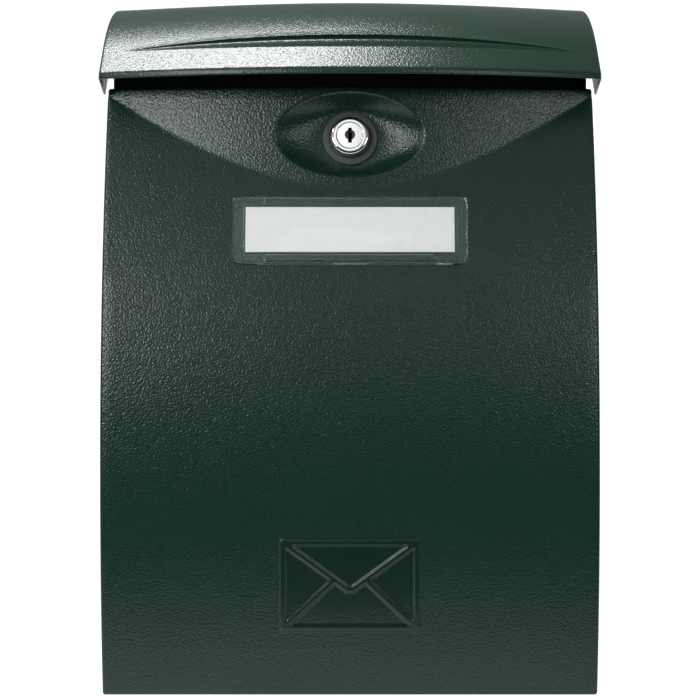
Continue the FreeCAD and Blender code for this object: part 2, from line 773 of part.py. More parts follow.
def make_lid_spacers():
    """Two nylon washers on the lid's rod, between the shell's ears and the lid's flanges."""
    start = D["body_width"] / 2 + 0.1
    length = D["spacer_length"]
    pin = (D["lid_pin_y"], D["lid_pin_z"])
    rings = []
    for side in ("left", "right"):
        outside = rod(f"spacer_{side}", D["spacer_radius"], length, *pin)
        bore = rod(f"spacer_{side}_bore", D["rod_radius"], length, *pin)
        for bar in (outside, bore):
            bind(bar, "Placement.Base.x", start if side == "right" else -(start + length))
        rings.append(cut(f"spacer_ring_{side}", outside, bore))
    group = doc.addObject("Part::Compound", "lid_spacers")
    group.Label = "lid_spacers"
    group.Links = rings
    return group


# ---- cam lock, in its own frame ----

def make_lock_bezel():
    """A plastic ring with a thin inner lip that the barrel's head clamps."""
    body = new_body("lock_bezel")
    bore = D["bezel_bore"]
    inside = D["bezel_inside"]
    outside = D["bezel_outside"]
    top = D["bezel_height"]
    lip = D["bezel_lip"]
    bevel = 0.4
    revolve(body, [
        (bore, 0), (outside, 0), (outside, top - bevel), (outside - bevel, top),
        (inside + bevel, top), (inside, top - bevel), (inside, lip), (bore, lip),
    ])
    return place_on_lock(body)


def make_lock_barrel():
    body = new_body("lock_barrel")
    bore = D["plug_radius"] + D["rod_play"]
    counterbore = D["plug_face"] + D["rod_play"]
    face = D["head_face"]
    end = D["barrel_end"]
    seat = D["bezel_lip"]
    revolve(body, [
        (bore, end), (D["barrel_radius"], end), (D["barrel_radius"], seat),
        (D["head_radius"], seat), (D["head_radius"], face - 2.6), (D["head_radius"] - 1.3, face),
        (counterbore, face), (counterbore, face - 2), (bore, face - 2),
    ])
    flats = new_sketch(body, "XZ_Plane")
    flat = D["barrel_flat"]
    rectangle(flats, flat, end - 1, flat + 3, seat / 4)
    rectangle(flats, -(flat + 3), end - 1, -flat, seat / 4)
    pocket(body, flats)
    return place_on_lock(body)


def make_lock_plug():
    body = new_body("lock_plug")
    radius = D["plug_radius"]
    face = D["head_face"] - 0.1
    rear = D["cam_front"]
    revolve(body, [(0, rear), (radius, rear), (radius, face - 1.85),
                   (D["plug_face"], face - 1.85), (D["plug_face"], face), (0, face)])
    half = D["shank_half"]
    shank = rectangle(new_sketch(body, "XY_Plane", rear - D["cam_sheet"] + 0.2),
                      -half, -half, half, half)
    pad(body, shank, D["cam_sheet"])
    slot = rectangle(new_sketch(body, "XY_Plane", face),
                     -D["slot_half"], -D["slot_tall"], D["slot_half"], D["slot_tall"])
    pocket(body, slot, 19)
    entry = circle(new_sketch(body, "XY_Plane", face), 0, 0.3, D["entry_radius"])
    pocket(body, entry, D["entry_depth"])
    slots = new_sketch(body, "XZ_Plane")
    wide = D["wafer_half"] + 0.1
    thick = D["wafer_sheet"] / 2 + 0.05
    for up in WAFER_PLACES:
        rectangle(slots, -wide, -thick + up, wide, thick + up)
    pocket(body, slots)
    thread = circle(new_sketch(body, "XY_Plane", rear - D["cam_sheet"]), 0, 0, D["screw_radius"] + 0.05)
    pocket(body, thread, D["screw_reach"] + 1, True)
    return place_on_lock(body)


def make_lock_wafers():
    """Five brass wafers, each a thin plate with a window for the key."""
    body = new_body("lock_wafers")
    thick = D["wafer_sheet"]
    wide = D["wafer_half"]
    tall = D["wafer_tall"]
    for number, up in enumerate(WAFER_PLACES):
        plate = new_sketch(body, "XY_Plane", -thick / 2 + up)
        rectangle(plate, -wide, -tall, wide, tall)
        low = -D["window_tall"] / 2 + 0.15 - number * 0.15
        rectangle(plate, -D["window_half"], low, D["window_half"], low + D["window_tall"])
        pad(body, plate, thick)
    return place_on_lock(body)


def make_lock_nut():
    body = new_body("lock_nut")
    side = D["nut_flats"] / root(as_size(3))
    flat = D["nut_flats"] / 2
    hexagon = outline(new_sketch(body, "XY_Plane", -T - D["nut_height"]), [
        (side, 0), (side / 2, flat), (-side / 2, flat),
        (-side, 0), (-side / 2, -flat), (side / 2, -flat),
    ])
    circle(hexagon, 0, 0, D["barrel_radius"] + D["rod_play"])
    pad(body, hexagon, D["nut_height"])
    return place_on_lock(body)


def make_lock_cam():
    """The flat latch: at rest it points sideways, clear of the strike rail."""
    body = new_body("lock_cam")
    reach = D["cam_reach"]
    half = D["cam_half"]
    plate = outline(new_sketch(body, "XY_Plane", D["cam_front"] - D["cam_sheet"]), [
        (0, -half), (reach - 4, -half), (reach, 4 - half), (reach, half - 4),
        (reach - 4, half), (0, half),
    ], {5: (half + 0.01, 1)})
    hole = D["shank_half"] + 0.05
    rectangle(plate, -hole, -hole, hole, hole)
    pad(body, plate, D["cam_sheet"])
    return place_on_lock(body)


def make_lock_cam_washer():
    body = new_body("lock_cam_washer")
    front = D["cam_front"] - D["cam_sheet"]
    rear = front - D["washer_sheet"]
    inside = D["washer_inside"]
    outside = D["washer_outside"]
    revolve(body, [(inside, rear), (outside, rear), (outside, front), (inside, front)])
    return place_on_lock(body)


def make_lock_cam_screw():
    body = new_body("lock_cam_screw")
    seat = D["cam_front"] - D["cam_sheet"] - D["washer_sheet"]
    rear = seat - D["screw_rise"]
    head = D["screw_head"]
    shank = D["screw_radius"]
    tip = seat + D["screw_reach"]
    revolve(body, [(0, rear), (head - 1, rear), (head, rear + 1), (head, seat),
                   (shank, seat), (shank, tip), (0, tip)])
    for wide, tall in ((0.5, 2.4), (2.4, 0.5)):
        cross = rectangle(new_sketch(body, "XY_Plane", rear), -wide, -tall, wide, tall)
        pocket(body, cross, D["screw_rise"] / 2, True)
    return place_on_lock(body)


# ---- name plate, in its own frame ----

def make_name_plate_cover():
    """A clear moulded cover with a pocket for the label and four clips through the door."""
    body = new_body("name_plate_cover")
    wide = D["plate_wide"] / 2
    tall = D["plate_tall"] / 2
    thick = D["plate_thick"]
    rim = D["plate_rim"]
    margin = D["window_margin"]
    pad(body, rounded_rectangle(new_sketch(body, "XY_Plane"), wide, tall, 4), thick - rim)
    pad(body, rounded_rectangle(new_sketch(body, "XY_Plane", thick - rim),
                                wide - rim, tall - rim, 3), rim)
    window = rounded_rectangle(new_sketch(body, "XY_Plane", thick),
                               wide - margin, tall - margin + 0.5, 0.6)
    pocket(body, window, D["window_depth"])
    bed_x = D["label_wide"] / 2 + D["label_play"]
    bed_y = D["label_tall"] / 2 + D["label_play"]
    bed = rectangle(new_sketch(body, "XY_Plane"), -bed_x, -bed_y, bed_x, bed_y)
    pocket(body, bed, D["label_sheet"] + 0.3, True)
    clips = new_sketch(body, "XY_Plane", -D["clip_reach"])
    for corners in clip_rectangles(0):
        rectangle(clips, *corners)
    pad(body, clips, D["clip_reach"] + 0.2)
    return place_on_plate(body)


def make_name_label():
    body = new_body("name_label")
    wide = D["label_wide"] / 2
    tall = D["label_tall"] / 2
    pad(body, rectangle(new_sketch(body, "XY_Plane", 0.2), -wide, -tall, wide, tall), D["label_sheet"])
    return place_on_plate(body)


def check_document():
    """Stops the script when any object of the document failed."""
    for thing in doc.Objects:
        if "Invalid" in thing.State or "Error" in thing.State:
            raise RuntimeError(f"{thing.Label} failed: {thing.State}")


def write_nodes(nodes):
    os.makedirs("parts", exist_ok=True)
    for node in nodes:
        shape = node.Shape
        if shape.isNull() or not shape.isValid():
            raise RuntimeError(f"{node.Label} has no valid shape")
        shape.exportStep(os.path.join("parts", node.Label + ".step"))
        print(f"{node.Label}: {len(shape.Solids)} solids, {shape.Volume:.1f} mm3")


nodes = [
    make_body_shell(),
    make_strike_rail(),
    make_rail_rivets(),
    make_front_door(),
    rod("door_hinge_rod", D["rod_radius"], D["body_width"] + 0.1,
        D["door_pin_y"], D["door_pin_z"]),
    make_lid(),
    rod("lid_hinge_rod", D["rod_radius"], D["lid_width"] - T * 2 - 0.4,
        D["lid_pin_y"], D["lid_pin_z"]),
    make_lid_spacers(),
    make_lock_bezel(),
    make_lock_barrel(),
    make_lock_plug(),
    make_lock_wafers(),
    make_lock_nut(),
    make_lock_cam(),
    make_lock_cam_washer(),
    make_lock_cam_screw(),
    make_name_plate_cover(),
    make_name_label(),
]
doc.recompute()
check_document()
write_nodes(nodes)
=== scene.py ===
import json
import math

import bmesh
import bpy
import numpy as np
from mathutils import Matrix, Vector


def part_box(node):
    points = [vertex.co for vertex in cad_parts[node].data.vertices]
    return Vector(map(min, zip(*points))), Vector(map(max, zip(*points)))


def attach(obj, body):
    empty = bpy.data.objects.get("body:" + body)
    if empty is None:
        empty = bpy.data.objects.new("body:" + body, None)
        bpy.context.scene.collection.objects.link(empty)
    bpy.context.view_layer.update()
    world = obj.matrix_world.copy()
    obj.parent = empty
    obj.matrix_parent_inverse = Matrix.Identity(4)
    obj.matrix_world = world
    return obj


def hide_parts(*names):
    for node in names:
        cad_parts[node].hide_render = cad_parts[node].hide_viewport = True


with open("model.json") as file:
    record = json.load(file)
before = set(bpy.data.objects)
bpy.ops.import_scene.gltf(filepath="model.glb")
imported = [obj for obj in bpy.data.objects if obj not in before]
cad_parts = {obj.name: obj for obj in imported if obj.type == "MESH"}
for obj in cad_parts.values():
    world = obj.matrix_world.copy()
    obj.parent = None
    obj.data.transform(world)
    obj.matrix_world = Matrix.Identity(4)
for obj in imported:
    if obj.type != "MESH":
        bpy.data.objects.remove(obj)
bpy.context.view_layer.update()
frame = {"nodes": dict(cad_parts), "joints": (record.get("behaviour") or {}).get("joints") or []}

# Shapes are worked out in millimetres and written in metres. X is right, -Y is the front, Z is up.
MM = 0.001

# Door: an arc in side view, with a bowed zone round the lock and an oval dish in it.
FRONT_RADIUS = 590.0
BELLY_DEPTH = 108.0
BELLY_HEIGHT = -61.0
VISOR_LOW = 84.5
VISOR_RADIUS = 680.0
VISOR_LEAN = 0.06
CREASE_BLEND = 0.32
DOOR_BEND = 1.5
DOOR_RETURN = 12.0
RELIEF = 0.85
SHEET = 1.0
DISH_WIDE, DISH_TALL, DISH_UP = 39.2, 22.1, 112.2
DISH_ROUND = 1.0

# Hinges: both sheets end in a strip rolled round their rod.
JOINTS = {joint["name"]: joint for joint in frame["joints"]}
JOINT_AT = {name: Vector(joint["pos_m"]) / MM for name, joint in JOINTS.items()}
DOOR_PIN = (JOINT_AT["door_hinge"].y, JOINT_AT["door_hinge"].z)
LID_PIN = (JOINT_AT["lid_hinge"].y, JOINT_AT["lid_hinge"].z)
CURL_RADIUS = 3.0
CURL_HALF = 124.75

# Lid: an upright lip, a sloping band, then a dome; the step between band and dome is a crescent.
LIP_LOW, LIP_RISE, LIP_ROUND = 139.3, 3.0, 1.5
LIP_END = 100.0
BAND_RUN, BAND_RISE = 14.0, 12.6
DOME_RADIUS = 128.0
DOME_END = (-4.5, 190.0)
HEM_Y, HEM_BEND, HEM_LOW = -1.5, 3.0, 181.0
NOTCH_Y = -15.0
SIDE_BEND = 1.5
FLANGE_LOW, FLANGE_RADIUS = 168.0, 104.0
TAB_RUN, TAB_DROP = 23.0, 5.0
CRESCENT_HALF = 117.0
CRESCENT_FORM = [(0, 0), (1.2, .35), (2.8, .85), (3.9, 1.1), (4.4, 1.15), (4.9, 1.05),
                 (6.2, .35), (7.6, -.45), (9.0, -1.1), (10.3, -1.55), (11.0, -1.7)]
CRESCENT_STEP = [(11.25, -1.6), (11.3, .1), (11.6, .1), (12.2, 0)]

# Name plate cover, in its own frame: across, up and out from the door.
PLATE_UP = 62.0
PLATE_HALF_X, PLATE_HALF_Z, PLATE_CORNER = 60.8, 18.4, 4.0
LABEL_PLAY = 5.4

LOCK_AXIS = Vector(JOINTS["lock_turn"]["axis"])
LOCK_AT = Vector(JOINTS["lock_turn"]["pos_m"])


# ---- mesh building ----

# Points that agree to this many decimals of a millimetre are one point.
MERGE_PLACES = 4


class Skin:
    """Points and faces collected patch by patch; equal points are merged when the mesh is made."""

    def __init__(self):
        self.points = []
        self.faces = []
        self.kinds = []
        self.count = 0

    def add(self, points):
        points = np.asarray(points, float).reshape(-1, 3)
        first = self.count
        self.points.append(points)
        self.count += len(points)
        return first

    def face(self, corners, kind=0):
        self.faces.append(tuple(corners))
        self.kinds.append(kind)

    def grid(self, points, keep=None, closed=False, kinds=None):
        """Quads over a grid of rows and columns; keep(row, column) leaves out cells."""
        rows, columns = points.shape[:2]
        first = self.add(points)
        for i in range(rows - 1):
            for j in range(columns if closed else columns - 1):
                if keep is not None and not keep(i, j):
                    continue
                k = (j + 1) % columns
                self.face((first + i * columns + j, first + i * columns + k,
                           first + (i + 1) * columns + k, first + (i + 1) * columns + j),
                          kinds(i, j) if kinds else 0)

    def build(self, name):
        points = np.concatenate(self.points)
        keys = np.round(points, MERGE_PLACES)
        _, keep, index = np.unique(keys, axis=0, return_index=True, return_inverse=True)
        index = index.reshape(-1)
        points = points[keep]
        faces, kinds = [], []
        for corners, kind in zip(self.faces, self.kinds):
            ring = []
            for corner in corners:
                number = int(index[corner])
                if not ring or ring[-1] != number:
                    ring.append(number)
            if len(ring) > 1 and ring[0] == ring[-1]:
                ring.pop()
            if len(ring) > 2 and len(set(ring)) == len(ring):
                faces.append(ring)
                kinds.append(kind)
        mesh = bpy.data.meshes.new(name)
        mesh.from_pydata((points * MM).tolist(), [], faces)
        mesh.polygons.foreach_set("material_index", kinds)
        mesh.validate()
        loose = np.ones(len(mesh.vertices), bool)
        for polygon in mesh.polygons:
            loose[list(polygon.vertices)] = False
        if loose.any():
            work = bmesh.new()
            work.from_mesh(mesh)
            work.verts.ensure_lookup_table()
            unused = [work.verts[i] for i in np.flatnonzero(loose)]
            bmesh.ops.delete(work, geom=unused, context="VERTS")
            work.to_mesh(mesh)
            work.free()
        mesh.update()
        return mesh


def piece(mesh, body, materials, replaces, sharp=40.0):
    """A smooth shaded piece that rides on a body and stands in for one CAD node."""
    obj = bpy.data.objects.new(mesh.name, mesh)
    bpy.context.scene.collection.objects.link(obj)
    for material in materials:
        mesh.materials.append(material)
    mesh.shade_smooth()
    mesh.set_sharp_from_angle(angle=math.radians(sharp))
    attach(obj, body)
    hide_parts(*replaces)
    return obj


def solidify(obj):
    """Gives a skin the sheet's thickness, inwards."""
    mod = obj.modifiers.new("sheet", "SOLIDIFY")
    mod.thickness = SHEET * MM
    mod.offset = -1.0
    mod.use_even_offset = False
    mod.use_rim = True


def round_edges(obj, width):
    mod = obj.modifiers.new("rounded", "BEVEL")
    mod.width = width * MM
    mod.segments = 2
    mod.limit_method = "ANGLE"
    mod.angle_limit = math.radians(50.0)
    mod.harden_normals = False


def circle_path(centre_y, centre_z, radius, start, end, parts):
    """(y, z) points on a circle, between two angles in degrees."""
    angles = np.radians(np.linspace(start, end, parts + 1))
    return [(centre_y + radius * math.cos(a), centre_z + radius * math.sin(a)) for a in angles]


def bent(first, corner, last, parts):
    """Points on a rounded corner from first to last, both included."""
    first, corner, last = (np.array(p, float) for p in (first, corner, last))
    return [(1 - t) ** 2 * first + 2 * t * (1 - t) * corner + t * t * last
            for t in np.linspace(0, 1, parts + 1)]


def smooth_through(points, parts):
    """A smooth curve through the points."""
    points = np.array(points, float)
    slopes = np.gradient(points, axis=0)
    curve = []
    for a, b, u, v in zip(points, points[1:], slopes, slopes[1:]):
        for t in np.linspace(0, 1, parts + 1)[:-1]:
            curve.append((1 + 2 * t) * (1 - t) ** 2 * a + t * (1 - t) ** 2 * u
                         + t * t * (3 - 2 * t) * b + t * t * (t - 1) * v)
    return curve + [points[-1]]


def smoothstep(low, high, value):
    t = np.clip((value - low) / (high - low), 0, 1)
    return t * t * (3 - 2 * t)


# ---- materials ----

def new_material(name):
    material = bpy.data.materials.new(name)
    material.use_nodes = True
    nodes = material.node_tree.nodes
    return material, nodes, material.node_tree.links, nodes["Principled BSDF"]


def noise(nodes, links, coordinates, scale, detail=2.0, rough=0.5):
    node = nodes.new("ShaderNodeTexNoise")
    node.inputs["Scale"].default_value = scale
    node.inputs["Detail"].default_value = detail
    node.inputs["Roughness"].default_value = rough
    links.new(coordinates, node.inputs["Vector"])
    return node.outputs["Fac"]


def spread(nodes, links, value, low, high, start=0.0, end=1.0):
    node = nodes.new("ShaderNodeMapRange")
    node.inputs["From Min"].default_value = start
    node.inputs["From Max"].default_value = end
    node.inputs["To Min"].default_value = low
    node.inputs["To Max"].default_value = high
    links.new(value, node.inputs["Value"])
    return node.outputs["Result"]


def two_colours(nodes, links, value, first, second):
    node = nodes.new("ShaderNodeMix")
    node.data_type = "RGBA"
    node.inputs[6].default_value = (*first, 1)
    node.inputs[7].default_value = (*second, 1)
    links.new(value, node.inputs[0])
    return node.outputs[2]


def bump(nodes, links, height, strength, distance, base=None):
    node = nodes.new("ShaderNodeBump")
    node.inputs["Strength"].default_value = strength
    node.inputs["Distance"].default_value = distance
    links.new(height, node.inputs["Height"])
    if base is not None:
        links.new(base, node.inputs["Normal"])
    return node.outputs["Normal"]


def place_of(nodes):
    return nodes.new("ShaderNodeTexCoord").outputs["Object"]


def powder_coat(name, dark, light, rough, grain, strength):
    """Satin powder coat with an orange peel of `grain` bumps to the metre."""
    material, nodes, links, shader = new_material(name)
    at = place_of(nodes)
    tone = noise(nodes, links, at, 26, 3)
    speck = noise(nodes, links, at, grain * 1.7, 2, 0.7)
    blend = nodes.new("ShaderNodeMath")
    blend.operation = "MULTIPLY_ADD"
    links.new(speck, blend.inputs[0])
    blend.inputs[1].default_value = 0.55
    links.new(spread(nodes, links, tone, 0.0, 0.45), blend.inputs[2])
    links.new(two_colours(nodes, links, blend.outputs[0], dark, light), shader.inputs["Base Color"])
    links.new(spread(nodes, links, speck, rough - 0.05, rough + 0.05, 0.3, 0.7),
              shader.inputs["Roughness"])
    peel = noise(nodes, links, at, grain, 1, 0.4)
    soft = bump(nodes, links, noise(nodes, links, at, 60, 2), 0.03, 0.0006)
    links.new(bump(nodes, links, peel, strength, 0.0004, soft), shader.inputs["Normal"])
    shader.inputs["Specular IOR Level"].default_value = 0.5
    return material


def metal(name, colour, rough, scratch, grain, stretch=(1, 1, 1)):
    """Plated or bare metal with fine marks, slightly clouded."""
    material, nodes, links, shader = new_material(name)
    scale = nodes.new("ShaderNodeMapping")
    scale.inputs["Scale"].default_value = stretch
    links.new(place_of(nodes), scale.inputs["Vector"])
    marks = noise(nodes, links, scale.outputs["Vector"], grain, 3, 0.6)
    cloud = noise(nodes, links, place_of(nodes), 120, 2)
    darker = tuple(c * 0.86 for c in colour)
    links.new(two_colours(nodes, links, cloud, darker, colour), shader.inputs["Base Color"])
    links.new(spread(nodes, links, marks, rough * 0.75, rough * 1.3, 0.3, 0.7),
              shader.inputs["Roughness"])
    shader.inputs["Metallic"].default_value = 1.0
    links.new(bump(nodes, links, marks, scratch, 0.00005), shader.inputs["Normal"])
    return material


# The plug's chrome plating starts this far out along the lock's axis, in metres; nearer the back
# the metal is bare and painted dark as shade in the recess.
PLATING_AND_SHADE_FROM = (0.0073, 0.0075)
# Bare metal, painted far darker than brass as painted shade in the recess and key slot.
BARE_METAL_AND_SHADE = (0.10, 0.085, 0.07)
CHROME_COLOUR = (0.86, 0.86, 0.87)


def plug_metal():
    """Chrome on the front face; bare metal in the recess, the key slot and behind, painted dark as
    the shade that falls there.
    """
    material, nodes, links, shader = new_material("lock_plug_metal")
    at = place_of(nodes)
    shift = nodes.new("ShaderNodeVectorMath")
    shift.operation = "SUBTRACT"
    links.new(at, shift.inputs[0])
    shift.inputs[1].default_value = LOCK_AT
    out = nodes.new("ShaderNodeVectorMath")
    out.operation = "DOT_PRODUCT"
    links.new(shift.outputs[0], out.inputs[0])
    out.inputs[1].default_value = LOCK_AXIS
    # Painted shade: everything behind the plated face takes the dark bare-metal colour.
    plating_and_shade_mask = spread(nodes, links, out.outputs["Value"], 0.0, 1.0, *PLATING_AND_SHADE_FROM)
    marks = noise(nodes, links, at, 900, 3, 0.6)
    links.new(two_colours(nodes, links, plating_and_shade_mask, BARE_METAL_AND_SHADE, CHROME_COLOUR),
              shader.inputs["Base Color"])
    rough = spread(nodes, links, plating_and_shade_mask, 0.5, 0.07)
    both = nodes.new("ShaderNodeMath")
    both.operation = "MULTIPLY_ADD"
    links.new(marks, both.inputs[0])
    both.inputs[1].default_value = 0.04
    links.new(rough, both.inputs[2])
    links.new(both.outputs[0], shader.inputs["Roughness"])
    links.new(bump(nodes, links, marks, 0.06, 0.00005), shader.inputs["Normal"])
    shader.inputs["Metallic"].default_value = 1.0
    return material


def plastic(name, dark, light, rough, grain=1500.0, strength=0.15, **sockets):
    """Moulded plastic or paper; sockets sets further inputs of the shader by name."""
    material, nodes, links, shader = new_material(name)
    at = place_of(nodes)
    links.new(two_colours(nodes, links, noise(nodes, links, at, 200, 3), dark, light),
              shader.inputs["Base Color"])
    fine = noise(nodes, links, at, grain, 2)
    links.new(spread(nodes, links, fine, rough * 0.8, rough * 1.2, 0.3, 0.7),
              shader.inputs["Roughness"])
    if strength:
        links.new(bump(nodes, links, fine, strength, 0.00008), shader.inputs["Normal"])
    for socket, value in sockets.items():
        shader.inputs[socket.replace("_", " ")].default_value = value
    return material


PAINT = powder_coat("green_powder_coat", (0.0066, 0.031, 0.017), (0.0118, 0.047, 0.029),
                    0.24, 1000, 0.5)
PAINT_SMOOTH = powder_coat("green_powder_coat_smooth", (0.006, 0.027, 0.015),
                           (0.010, 0.038, 0.023), 0.18, 700, 0.12)
CHROME = metal("lock_chrome", CHROME_COLOUR, 0.07, 0.06, 500)
PLUG = plug_metal()
ZINC = metal("zinc_plate", (0.62, 0.64, 0.66), 0.3, 0.25, 900)
BRASS = metal("wafer_brass", (0.62, 0.42, 0.18), 0.3, 0.2, 1500, (1, 1, 6))
RING = plastic("bezel_plastic", (0.065, 0.078, 0.076), (0.085, 0.10, 0.097), 0.55)
NYLON = plastic("nylon", (0.60, 0.59, 0.54), (0.70, 0.69, 0.64), 0.4)
CLEAR = plastic("clear_plastic", (0.90, 0.94, 0.93), (0.95, 0.98, 0.97), 0.03, 300, 0,
                Transmission_Weight=1.0, IOR=1.49)
PAPER = plastic("label_paper", (0.70, 0.67, 0.66), (0.74, 0.71, 0.70), 0.75, 2200, 0.3)


# ---- door ----

door_low, door_high = (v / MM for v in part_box("front_door"))
FACE_HALF = door_high.x - DOOR_BEND
FACE_LOW = door_low.z + 1.2
FACE_HIGH = door_high.z - 1.42
# The face's mesh: columns in its lower part, and the height where its upper part starts.
COARSE = 50
SPLIT_HEIGHT = 40.0
# The envelope: a frame of raised ribs, with its flap's lines meeting in the middle.
BADGE_HALF_X, BADGE_HALF_Z, BADGE_MIDDLE = 35.7, 23.6, -120.5
BADGE_CORNER = 0.9
RIB = 2.9
FLAP_POINT = (1.2, -2.0)
FOLD_POINT = (9.6, 1.4)
RIB_BLEND = 1.0
FRONT_CENTRE = FRONT_RADIUS - BELLY_DEPTH
# The dish's floor: half its width and height, and the ring's seat and hole in it.
FLOOR_HALF_X, FLOOR_HALF_Z = 15.6, 15.0
LOCK_HOLE = 9.9
BOWL_POWER = 1.75
# Cells over the envelope: the wide columns it covers, and how each wide cell is divided.
BADGE_COLUMNS = (17, 33)
BADGE_CLEAR = 26.0
FINE_ACROSS, FINE_UP = 10, 5
# Rows of the upper face: evenly spaced below the crease, then close together across it.
ROWS_BELOW = 27
CREASE_BAND = 3.0
CREASE_ROWS = (-2.2, -1.6, -1.1, -0.7, -0.35, 0, 0.35, 0.7, 1.1, 1.6, 2.2)
TOP_RETURN_Y = -60.8


def arc_y(z):
    """The front's plain arc in side view."""
    return FRONT_CENTRE - np.sqrt(FRONT_RADIUS ** 2 - (z - BELLY_HEIGHT) ** 2)


def visor_y(x, z):
    """The bowed zone round the lock: it leans back a little and curves across."""
    return arc_y(VISOR_LOW) + VISOR_LEAN * (z - VISOR_LOW) + x * x / (2 * VISOR_RADIUS)


def segment_distance(x, z, start, end):
    """Distance from a straight line between two points of the face."""
    run = np.array(end, float) - start
    along = np.clip(((x - start[0]) * run[0] + (z - start[1]) * run[1]) / (run @ run), 0, 1)
    return np.hypot(x - start[0] - along * run[0], z - start[1] - along * run[1])


def soft_min(a, b, reach):
    """The smaller of two, blended where they differ by less than reach."""
    blend = np.clip(reach - np.abs(a - b), 0, None) / reach
    return np.minimum(a, b) - blend * blend * reach / 4


def badge_distance(x, z):
    """Distance outside the envelope's raised ribs; negative on them."""
    z = z - BADGE_MIDDLE
    half_x, half_z = BADGE_HALF_X - RIB / 2, BADGE_HALF_Z - RIB / 2
    qx = np.abs(x) - half_x + BADGE_CORNER
    qz = np.abs(z) - half_z + BADGE_CORNER
    outside = np.hypot(np.maximum(qx, 0), np.maximum(qz, 0))
    lines = np.abs(outside + np.minimum(np.maximum(qx, qz), 0) - BADGE_CORNER)
    (tip_x, tip_z), (fold_x, fold_z) = FLAP_POINT, FOLD_POINT
    strokes = []
    for side in (-1, 1):
        strokes.append(((side * half_x, half_z), (side * tip_x, tip_z)))
        strokes.append(((side * half_x, -half_z), (side * fold_x, fold_z)))
    strokes.append(((-tip_x, tip_z), (tip_x, tip_z)))
    for start, end in strokes:
        lines = soft_min(lines, segment_distance(x, z, start, end), RIB_BLEND)
    return lines - RIB / 2


def door_y(x, z):
    """The door's face: arc and bowed zone, with the envelope's ribs raised on it."""
    bowed = soft_min(arc_y(z), visor_y(x, z), CREASE_BLEND)
    plain = np.where(z > SPLIT_HEIGHT, bowed, arc_y(z))
    return plain - RELIEF * smoothstep(0.42, -0.42, badge_distance(x, z))


def front_points(x, z):
    """Points of the door's face."""
    x, z = np.broadcast_arrays(np.asarray(x, float), np.asarray(z, float))
    return np.stack([x, door_y(x, z), z], -1)


def front_frame(x, z):
    """Outward normal and the two tangents of the plain front at a point."""
    step = 0.05
    fx = (door_y(x + step, z) - door_y(x - step, z)) / (2 * step)
    fz = (door_y(x, z + step) - door_y(x, z - step)) / (2 * step)
    normal = np.array([fx, -1, fz]) / math.sqrt(1 + fx * fx + fz * fz)
    across = np.array([1, fx, 0]) / math.hypot(1, fx)
    up = np.array([0, fz, 1]) / math.hypot(1, fz)
    return normal, across, up


def crease_height(x):
    """Where the bowed zone meets the plain arc, at each place across."""
    low, high = np.full_like(x, 60.0), np.full_like(x, 150.0)
    for _ in range(40):
        middle = (low + high) / 2
        above = visor_y(x, middle) < arc_y(middle)
        low, high = np.where(above, low, middle), np.where(above, middle, high)
    return (low + high) / 2


def dish_floor(z):
    """The flat floor under the lock, square to the lock's axis."""
    at = LOCK_AT / MM
    return at.y + (z - at.z) * (LOCK_AXIS.z / -LOCK_AXIS.y)


def make_dish(skin, border):
    """Fills the hole inside a border of points with the rolled rim, the bowl and the floor."""
    angle = np.arctan2((border[:, 2] - DISH_UP) / DISH_TALL, border[:, 0] / DISH_WIDE)
    turn = np.stack([np.cos(angle), np.sin(angle)], -1)

    def rim(extra):
        x = (DISH_WIDE + extra) * turn[:, 0]
        z = DISH_UP + (DISH_TALL + extra) * turn[:, 1]
        return x, z

    outer_x, outer_z = rim(DISH_ROUND)
    rings = []
    for share in np.linspace(0, 1, 6):
        x = border[:, 0] * (1 - share) + outer_x * share
        z = border[:, 2] * (1 - share) + outer_z * share
        rings.append(front_points(x, z))
    at = LOCK_AT / MM
    floor_x = FLOOR_HALF_X * turn[:, 0]
    floor_z = at.z + FLOOR_HALF_Z * turn[:, 1]
    rim_x, rim_z = rim(0)
    rim_y = door_y(rim_x, rim_z)
    floor_y = dish_floor(floor_z)
    width = np.hypot(rim_x - floor_x, rim_z - floor_z)

    def bowl(share):
        x = floor_x + (rim_x - floor_x) * share
        z = floor_z + (rim_z - floor_z) * share
        y = rim_y + (floor_y - rim_y) * (1 - share ** BOWL_POWER)
        return np.stack([x, y, z], -1)

    corner = np.stack([rim_x, rim_y, rim_z], -1)
    start = rings[-1]
    inner = 1 - DISH_ROUND / width
    end = bowl(inner)
    for t in np.linspace(0, 1, 8)[1:]:
        rings.append((1 - t) ** 2 * start + 2 * t * (1 - t) * corner + t * t * end)
    for share in np.linspace(1, 0, 18)[1:]:
        rings.append(bowl(inner * share))
    for radius in np.linspace(FLOOR_HALF_Z, LOCK_HOLE, 4)[1:]:
        x, z = radius * turn[:, 0], at.z + radius * turn[:, 1]
        rings.append(np.stack([x, dish_floor(z), z], -1))
    skin.grid(np.array(rings), closed=True)


def between(low, high, parts):
    """The points that divide a span, without its ends."""
    return [low + (high - low) * k / parts for k in range(1, parts)]


